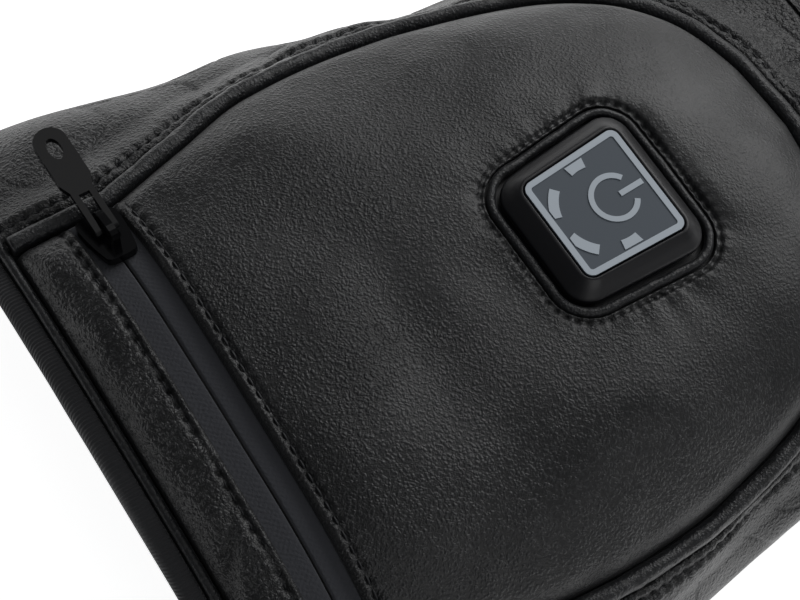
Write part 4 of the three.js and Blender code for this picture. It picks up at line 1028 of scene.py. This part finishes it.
def button():
    low = -TAPE_DEPTH + GAP + 0.6
    recess = LABEL_SIDE + 2 * GAP
    shoulder = CAP_TOP_SIDE
    rows = [
        (low, CAP_SIDE - 0.6, CAP_CORNER),
        (low + 0.3, CAP_SIDE, CAP_CORNER),
        (0.2, CAP_SIDE, CAP_CORNER),
        (0.5, CAP_SIDE - 0.25, CAP_CORNER - 0.1),
        (0.8, CAP_SIDE - 0.8, CAP_CORNER - 0.25),
        (1.5, CAP_SIDE - 2.1, CAP_CORNER - 0.75),
        (2.2, CAP_SIDE - 3.35, CAP_TOP_CORNER + 0.8),
        (2.55, shoulder + 0.35, CAP_TOP_CORNER + 0.5),
        (2.78, shoulder - 0.15, CAP_TOP_CORNER + 0.25),
        (2.88, shoulder - 0.6, CAP_TOP_CORNER),
        (2.9, shoulder - 1.0, CAP_TOP_CORNER - 0.2),
        (2.88, recess + 0.2, LABEL_CORNER + GAP + 0.1),
        (2.8, recess, LABEL_CORNER + GAP),
        (2.4, recess - 0.02, LABEL_CORNER + GAP),
    ]
    points, faces = loft(rows)
    build("cap", points, faces, CAP, ["button_cap"], "button")
    top = CAP_RISE + 0.03
    rows = [
        (top - 0.5, LABEL_SIDE, LABEL_CORNER),
        (top - 0.06, LABEL_SIDE, LABEL_CORNER),
        (top, LABEL_SIDE - 0.14, LABEL_CORNER - 0.05),
    ]
    points, faces = loft(rows)
    build("label", points, faces, LABEL, ["button_label"], "button", flat=True)
    prints(top + 0.03)


def raised_print(name, node_name, outer, inner, low):
    """A flat print between two lines of places on the label."""
    thick = MARK_THICKNESS
    rows = []
    for line, height in ((inner, low), (inner, low + thick), (outer, low + thick), (outer, low)):
        rows.append(np.column_stack([line, np.full(len(line), BUTTON_TOP + height)]))
    grid = np.array([*rows, rows[0]])
    count = grid.shape[1]
    faces = grid_faces(5, count)
    last = 4 * count
    faces = np.where(faces >= last, faces - last, faces)
    start = [row * count for row in range(4)]
    ends = [start, [corner + count - 1 for corner in reversed(start)]]
    faces = np.concatenate([faces, np.array(ends)])
    build(name, grid[:4], faces, INK, [node_name], "button", flat=True)


def prints(low):
    edge = rounded_square(LABEL_SIDE, LABEL_CORNER, 14)
    inner = rounded_square(LABEL_SIDE - 2 * BORDER_WIDTH, LABEL_CORNER - BORDER_WIDTH, 14)
    edge, inner = np.concatenate([edge, edge[:1]]), np.concatenate([inner, inner[:1]])
    raised_print("print_border", "label_border", edge, inner, low)

    def arc(centre_y, radius, width, from_degrees, to_degrees, count=50):
        angle = np.radians(np.linspace(from_degrees, to_degrees, count))
        unit = np.stack([np.cos(angle), np.sin(angle)], -1)
        shift = np.array([0, centre_y])
        return on_button(unit * (radius + width / 2) + shift), on_button(unit * (radius - width / 2) + shift)

    raised_print(
        "print_ring",
        "power_ring",
        *arc(POWER_SHIFT, POWER_RADIUS, POWER_LINE, 90 + POWER_GAP, 450 - POWER_GAP),
        low,
    )
    start = POWER_SHIFT + BAR_START
    right = np.array([[POWER_LINE / 2, start], [POWER_LINE / 2, start + BAR_LENGTH]])
    raised_print("print_bar", "power_bar", on_button(right), on_button(right * [-1, 1]), low)
    limit = LABEL_SIDE / 2 - BORDER_WIDTH - GAP
    for k, (middle, half, share) in enumerate(LEVEL_MARKS):
        angle = np.radians(np.linspace(middle - half, middle + half, 40))
        unit = np.stack([np.cos(angle), np.sin(angle)], -1)
        outer = unit * (share * LEVEL_RADIUS + LEVEL_WIDTH / 2)
        inner = unit * (share * LEVEL_RADIUS - LEVEL_WIDTH / 2)
        outer = np.clip(outer, -limit, limit)
        raised_print(f"print_level_{k + 1}", f"level_mark_{k + 1}", on_button(outer), on_button(inner), low)


# The hand
def closed_tube(rings):
    """A mesh in metres through rings of points, with a cap over each end."""
    rings = np.asarray(rings)
    count, around = rings.shape[:2]
    ends = [rings[0].mean(0), rings[-1].mean(0)]
    points = np.concatenate([rings.reshape(-1, 3), ends]) * MM
    faces = grid_faces(count, around, wrap=True, flip=True).tolist()
    first, last = count * around, (count - 1) * around
    for i in range(around):
        following = (i + 1) % around
        faces.append((first, i, following))
        faces.append((first + 1, last + following, last + i))
    data = bpy.data.meshes.new("tube")
    data.from_pydata(points.tolist(), [], faces)
    return data


def block(corners):
    """A mesh in metres from the eight corners of a block, its lower four first."""
    data = bpy.data.meshes.new("block")
    sides = [(3, 2, 1, 0), (4, 5, 6, 7), (0, 1, 5, 4), (1, 2, 6, 5), (2, 3, 7, 6), (3, 0, 4, 7)]
    data.from_pydata((np.asarray(corners, float) * MM).tolist(), [], sides)
    return data


def combine(first, second, operation):
    """Joins two closed meshes, or cuts or keeps the first by the second."""
    pair = [bpy.data.objects.new("working", data) for data in (first, second)]
    for one in pair:
        bpy.context.scene.collection.objects.link(one)
    cut = pair[0].modifiers.new("cut", "BOOLEAN")
    cut.operation = operation
    cut.solver = "MANIFOLD"
    cut.object = pair[1]
    shown = pair[0].evaluated_get(bpy.context.evaluated_depsgraph_get())
    made = bpy.data.meshes.new_from_object(shown)
    for one in pair:
        bpy.data.objects.remove(one)
    return made


def parts_of(data):
    """The separate bodies of a mesh, each as its points in millimetres and its faces, largest first."""
    mesh = bmesh.new()
    mesh.from_mesh(data)
    mesh.verts.ensure_lookup_table()
    label = [-1] * len(mesh.verts)
    count = 0
    for start in mesh.verts:
        if label[start.index] >= 0:
            continue
        waiting = [start]
        label[start.index] = count
        while waiting:
            for edge in waiting.pop().link_edges:
                for vert in edge.verts:
                    if label[vert.index] < 0:
                        label[vert.index] = count
                        waiting.append(vert)
        count += 1
    label = np.array(label)
    points = np.array([vert.co for vert in mesh.verts]) / MM
    faces = [[vert.index for vert in face.verts] for face in mesh.faces]
    mesh.free()
    found = []
    for number in range(count):
        chosen = label == number
        place = np.cumsum(chosen) - 1
        kept = [[int(place[i]) for i in face] for face in faces if chosen[face[0]]]
        found.append((points[chosen], kept))
    found.sort(key=lambda part: -np.prod(np.ptp(part[0], axis=0)))
    return found


def digit_run(run, root, direction, length, half_width, half_height, root_height, steps=64):
    """Middles and half-sizes of a finger's sections from its root to its tip."""
    along = np.linspace(run[0][0], 1, steps)
    girth = smooth([(row[0], row[1]) for row in run], along)
    fall = smooth([(row[0], row[2]) for row in run], along)
    middle = np.array(root) + np.array(direction) * (along * length)[:, None]
    tip_height = half_height * run[-1][1]
    height = root_height + (tip_height - root_height) * fall
    return np.column_stack([middle, height]), half_width * girth, half_height * girth


def digit(run, inset, around=56, round_steps=14):
    """A finger's mesh, inset from its surface, with a rounded tip and lying flat on the floor."""
    middle, half_width, half_height = run
    onward = middle[-1] - middle[-2]
    onward /= np.linalg.norm(onward)
    side = np.array([onward[1], -onward[0], 0])
    side /= np.linalg.norm(side)
    reach = half_width[-1] - inset
    kept = np.linalg.norm(middle - middle[-1], axis=1) > 0.97 * half_width[-1] + inset
    turn = np.linspace(0, math.pi / 2, round_steps + 1)[:-1]
    back = inset + reach * (1 - 0.96 * np.sin(turn)) * 0.94
    tip_middle = middle[-1] - onward * back[:, None]
    middle = np.concatenate([middle[kept], tip_middle])
    half_width = np.concatenate([half_width[kept] - inset, reach * np.cos(turn) ** 0.9])
    half_height = np.concatenate(
        [half_height[kept] - inset, (run[2][-1] - inset) * np.cos(turn) ** 0.9]
    )
    angle = np.linspace(0, 2 * math.pi, around + 1)[:-1]
    rings = middle[:, None] + side * (half_width[:, None] * np.cos(angle))[..., None]
    rings[..., 2] = np.maximum(middle[:, None, 2] + half_height[:, None] * np.sin(angle), inset)
    return closed_tube(rings)


HAND_MIDDLE = HAND_HEIGHT * AXIS_SHARE
ROOT_HEIGHT = HAND_MIDDLE + ROOT_RAISE
finger_runs = []
for root, tip, length, girth, crotch in FINGERS:
    start = np.array([root * HAND_WIDTH, crotch * PALM_LENGTH])
    way = np.array([(tip - root) * HAND_WIDTH, length * FINGER_LENGTH])
    way /= np.linalg.norm(way)
    sizes = girth * FINGER_WIDTH / 2, girth * FINGER_HEIGHT / 2
    finger_runs.append(digit_run(FINGER_RUN, start, way, length * FINGER_LENGTH, *sizes, ROOT_HEIGHT))
THUMB_START = np.array([HAND_WIDTH * THUMB_ROOT[0], PALM_LENGTH * THUMB_ROOT[1]])
THUMB_WAY = np.array([math.sin(THUMB_ANGLE), math.cos(THUMB_ANGLE)])
thumb_run = digit_run(
    THUMB_RUN,
    THUMB_START,
    THUMB_WAY,
    THUMB_LENGTH,
    THUMB_WIDTH / 2,
    THUMB_HEIGHT / 2,
    HAND_MIDDLE + THUMB_RAISE,
)


def hand_body(inset, start_y):
    """The hand without its fingers, inset from its surface."""
    angle = np.linspace(0, 2 * math.pi, 161)[:-1]
    rows = np.linspace(start_y, PALM_LENGTH, 50)
    rings = [body_point(angle, np.full(160, y), inset) for y in rows]
    for beyond in np.linspace(0, HAND_END[-1][0], 8)[1:]:
        y = PALM_LENGTH + beyond * SIDE_BAND - inset
        cx, cz, a, b = section(np.array([min(y, PALM_LENGTH)]))
        scale = smooth(HAND_END, beyond)
        cosine, sine = np.cos(angle), np.sin(angle)
        x = cx + (a - inset) * scale * np.sign(cosine) * np.abs(cosine) ** (2 / POWER)
        z = cz + (b - inset) * scale * np.sign(sine) * np.abs(sine) ** (2 / POWER)
        rings.append(np.stack([x, np.full(160, max(y, PALM_LENGTH)), np.maximum(z, inset)], -1))
    if inset:
        rings = [ring for ring in rings if ring[0, 1] <= PALM_LENGTH - inset] + rings[-1:]
    return closed_tube(rings)


def thumb_block(start):
    """A block that takes in the thumb beyond its seam."""
    side = np.array([THUMB_WAY[1], -THUMB_WAY[0]]) * THUMB_WIDTH * 0.66
    near = THUMB_START + THUMB_WAY * (THUMB_SEAM + start)
    far = near + THUMB_WAY * THUMB_LENGTH * 1.4
    plan = [near - side, near + side, far + side, far - side]
    return block([(*p, z) for z in (-80, 80) for p in plan])


def band_height(y):
    middle = section(y)[1]
    return middle + (ROOT_HEIGHT - middle) * np.clip(y / PALM_LENGTH, 0, 1)


def band_slab(extra):
    """The slab of the side strips: level across the hand, then along each finger to its tip."""
    half = SIDE_BAND / 2 + extra
    rings = []
    for y in np.linspace(WRIST_SEAM - WALL, PALM_LENGTH + SIDE_BAND, 30):
        z = float(band_height(np.array([y]))[0])
        low, high = z - half, z + half
        rings.append([(-140, y, low), (140, y, low), (140, y, high), (-140, y, high)])
    slab = closed_tube(rings)
    for middle, half_width, _ in finger_runs:
        beyond = middle[-1] + np.array([0, SIDE_BAND, 0])
        middle = np.concatenate([middle, [beyond]])
        wide = np.append(half_width, half_width[-1]) + LEATHER
        narrow = ease(np.clip((np.linspace(0, 1, len(wide)) - 0.55) / 0.4, 0, 1))
        tall = half * (1 + (TIP_BAND - 1) * narrow)
        rings = np.repeat(middle[:, None], 4, axis=1)
        rings[:, [0, 3], 0] -= wide[:, None]
        rings[:, [1, 2], 0] += wide[:, None]
        rings[:, :2, 2] -= tall[:, None]
        rings[:, 2:, 2] += tall[:, None]
        slab = combine(slab, closed_tube(rings), "UNION")
    return slab


def soften(mesh, weights, rounds):
    """Smooths a mesh where the weights of its points say."""
    places = np.array([vert.co for vert in mesh.verts])
    pairs = np.array([[vert.index for vert in edge.verts] for edge in mesh.edges])
    count = np.bincount(pairs.ravel(), minlength=len(places))[:, None]
    for _ in range(rounds):
        total = np.zeros_like(places)
        np.add.at(total, pairs[:, 0], places[pairs[:, 1]])
        np.add.at(total, pairs[:, 1], places[pairs[:, 0]])
        places += (total / count - places) * 0.6 * weights[:, None]
    return places


def hand_piece(name, part, material, node_name):
    """One panel of the hand with soft wrinkles and a smooth run into the fingers."""
    points, faces = part
    mesh = bmesh.new()
    verts = [mesh.verts.new(point) for point in points]
    for face in faces:
        mesh.faces.new([verts[i] for i in face])
    bmesh.ops.remove_doubles(mesh, verts=mesh.verts, dist=0.12)
    mesh.verts.ensure_lookup_table()
    mesh.verts.index_update()
    mesh.edges.ensure_lookup_table()
    mesh.normal_update()
    seams = set()
    for edge in mesh.edges:
        if len(edge.link_faces) == 2 and edge.calc_face_angle() > math.radians(60):
            seams.update(vert.index for vert in edge.verts)
    places = np.array([vert.co for vert in mesh.verts])
    tree = KDTree(max(len(seams), 1))
    for index in seams:
        tree.insert(mesh.verts[index].co, index)
    tree.balance()
    from_seam = np.array([tree.find(place)[2] or 0.0 for place in places])
    over = ease((places[:, 2] - band_height(places[:, 1]) - SIDE_BAND / 2) / 6)
    knuckles = over * bump(places[:, 1] - PALM_LENGTH - 2, 13)
    places = soften(mesh, knuckles * ease(from_seam / 5), 60)
    normals = np.array([vert.normal for vert in mesh.verts])
    wrinkle = 0.32 * waves(places * [0.6, 1, 1], 24, 81) + 0.12 * waves(places * [1, 2, 1], 10, 83)
    puckers = 0.14 * waves(places, 4.5, 85) * np.exp(-from_seam / 3) * ease(from_seam / 1.5)
    moved = places + normals * ((wrinkle - 0.1) * ease(from_seam / 6) + puckers)[:, None]
    moved[:, 2] = np.maximum(moved[:, 2], np.minimum(places[:, 2], 0.02))
    for vert, place in zip(mesh.verts, moved):
        vert.co = place * MM
    data = bpy.data.meshes.new(name)
    mesh.to_mesh(data)
    mesh.free()
    data.materials.append(material)
    data.polygons.foreach_set("use_smooth", np.ones(len(data.polygons), bool))
    data.set_sharp_from_angle(angle=math.radians(50))
    piece = bpy.data.objects.new(name, data)
    bpy.context.scene.collection.objects.link(piece)
    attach(piece, "glove")
    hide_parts(node_name)
    return piece


def hand():
    """The hand's panels and side strips, cut from one hollow form."""
    outer = hand_body(0.0, WRIST_SEAM)
    inner = hand_body(WALL, WRIST_SEAM - WALL)
    for run in [*finger_runs, thumb_run]:
        outer = combine(outer, digit(run, 0.0), "UNION")
        inner = combine(inner, digit(run, WALL), "UNION")
    start = WRIST_SEAM + GAP / 2
    plan = [(-200, start), (200, start), (200, 300), (-200, 300)]
    beyond_wrist = block([(*p, z) for z in (-80, 80) for p in plan])
    shell = combine(combine(outer, inner, "DIFFERENCE"), beyond_wrist, "INTERSECT")
    thumb = parts_of(combine(shell, thumb_block(GAP / 2), "INTERSECT"))[0]
    hand_piece("thumb_leather", thumb, HAND, "thumb")
    rest = combine(shell, thumb_block(-GAP / 2), "DIFFERENCE")
    panels = parts_of(combine(rest, band_slab(GAP / 2), "DIFFERENCE"))[:2]
    panels.sort(key=lambda part: -part[0][:, 2].max())
    hand_piece("hand_back", panels[0], HAND, "hand_back_panel")
    hand_piece("hand_palm", panels[1], HAND, "hand_palm_panel")
    strips = combine(rest, band_slab(-GAP / 2), "INTERSECT")
    for middle, half_width, _ in finger_runs:
        x, y, _ = middle[-1]
        reach = half_width[-1]
        plan = [(x - GAP, y - reach), (x + GAP, y - reach), (x + GAP, y + reach), (x - GAP, y + reach)]
        slit = block([(*p, z) for z in (-80, 80) for p in plan])
        strips = combine(strips, slit, "DIFFERENCE")
    found = parts_of(strips)
    long = [part for part in found if part[0][:, 1].max() > PALM_LENGTH][:5]
    long.sort(key=lambda part: np.ptp(part[0][:, 0]) / 2 + part[0][:, 0].min())
    for name, part in zip(LONG_STRIPS, long):
        hand_piece(name + "_leather", part, TRIM, name)
    wrist = next(part for part in found if part[0][:, 1].max() < PALM_LENGTH)
    hand_piece("wrist_strip_leather", wrist, TRIM, "side_strip_wrist")


LONG_STRIPS = [
    "side_strip_little",
    "fourchette_little_ring",
    "fourchette_ring_middle",
    "fourchette_middle_index",
    "side_strip_index",
]


# Pieces of the frame that are shown as they are
def dress(name, material, bevel=0.0, segments=3):
    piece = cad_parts[name]
    piece.data.materials.clear()
    piece.data.materials.append(material)
    if bevel:
        made = piece.modifiers.new("edges", "BEVEL")
        made.width = bevel * MM
        made.segments = segments
        made.limit_method = "ANGLE"
        made.angle_limit = math.radians(32)
    return piece


stitch_rows = []
stitch_rows.append(stitches(*cuff_back()))
cuff_palm()
cuff_lining()
pocket_panel()
hem_strip()
piping()
welt()
zip_tapes()
hem_cord()
hem_binding()
button()
for seam_y, away in ((ZIP_SEAM_Y, 1), (STRIP_SEAM_Y, -1)):
    stitch_rows.append(stitches(*topstitch(seam_y, away)))
points, faces = join(stitch_rows)
build("stitches", points, faces, THREAD)

hand()

dress("zip_coil", COIL)
dress("zip_slider", METAL, 0.22)
dress("zip_pull", METAL, 0.18)
dress("button_housing", CAP)

# The camera of the photograph
AIM = np.array([-3.59, -81.57, 45.0])
AZIMUTH, ELEVATION, ROLL_ANGLE = (math.radians(angle) for angle in (37.13, 65.40, 22.39))
DISTANCE = 358.9
LENS = 2372.6 * 36 / 800
back = np.array(
    [
        math.sin(AZIMUTH) * math.cos(ELEVATION),
        -math.cos(AZIMUTH) * math.cos(ELEVATION),
        math.sin(ELEVATION),
    ]
)
level = np.array([math.cos(AZIMUTH), math.sin(AZIMUTH), 0])
above = np.cross(back, level)
right = level * math.cos(ROLL_ANGLE) + above * math.sin(ROLL_ANGLE)
up = -level * math.sin(ROLL_ANGLE) + above * math.cos(ROLL_ANGLE)
place = (AIM + back * DISTANCE) * MM
camera_data = bpy.data.cameras.new("camera")
camera_data.lens = LENS
camera_data.sensor_width = 36
camera_data.clip_start = 0.01
camera_data.clip_end = 20
camera = bpy.data.objects.new("camera", camera_data)
rotation = Matrix(np.column_stack([right, up, back]).tolist()).to_4x4()
camera.matrix_world = Matrix.Translation(Vector(place)) @ rotation
bpy.context.scene.collection.objects.link(camera)
bpy.context.scene.camera = camera

# White floor
floor_material, floor_tree, floor_shader = finish_material("floor_white", (0.9, 0.9, 0.9), 0.7)
floor_shader.inputs["Emission Color"].default_value = (1, 1, 1, 1)
floor_shader.inputs["Emission Strength"].default_value = 0.9
floor_data = bpy.data.meshes.new("floor")
floor_data.from_pydata([(-3, -3, 0), (3, -3, 0), (3, 3, 0), (-3, 3, 0)], [], [(0, 1, 2, 3)])
floor_data.materials.append(floor_material)
floor = bpy.data.objects.new("floor", floor_data)
bpy.context.scene.collection.objects.link(floor)

# Light
world = bpy.data.worlds.new("world")
world.use_nodes = True
world.node_tree.nodes["Background"].inputs["Color"].default_value = (0.95, 0.97, 1, 1)
world.node_tree.nodes["Background"].inputs["Strength"].default_value = 0.1
bpy.context.scene.world = world
bpy.context.scene.view_settings.view_transform = "Standard"


def area_light(name, place, aim, size, power):
    data = bpy.data.lights.new(name, "AREA")
    data.shape = "RECTANGLE"
    data.size, data.size_y = size
    data.energy = power
    light = bpy.data.objects.new(name, data)
    light.location = place
    direction = Vector(aim) - Vector(place)
    light.rotation_euler = direction.to_track_quat("-Z", "Y").to_euler()
    bpy.context.scene.collection.objects.link(light)


area_light("far", (-0.3, 0.8, 0.62), (0, -0.03, 0.03), (1.3, 0.6), 7.4)
area_light("over", (-0.45, 0.1, 1.1), (0, -0.05, 0.03), (0.9, 0.9), 1.0)
area_light("side", (0.75, -0.1, 0.6), (0, -0.06, 0.03), (0.6, 0.6), 1.2)
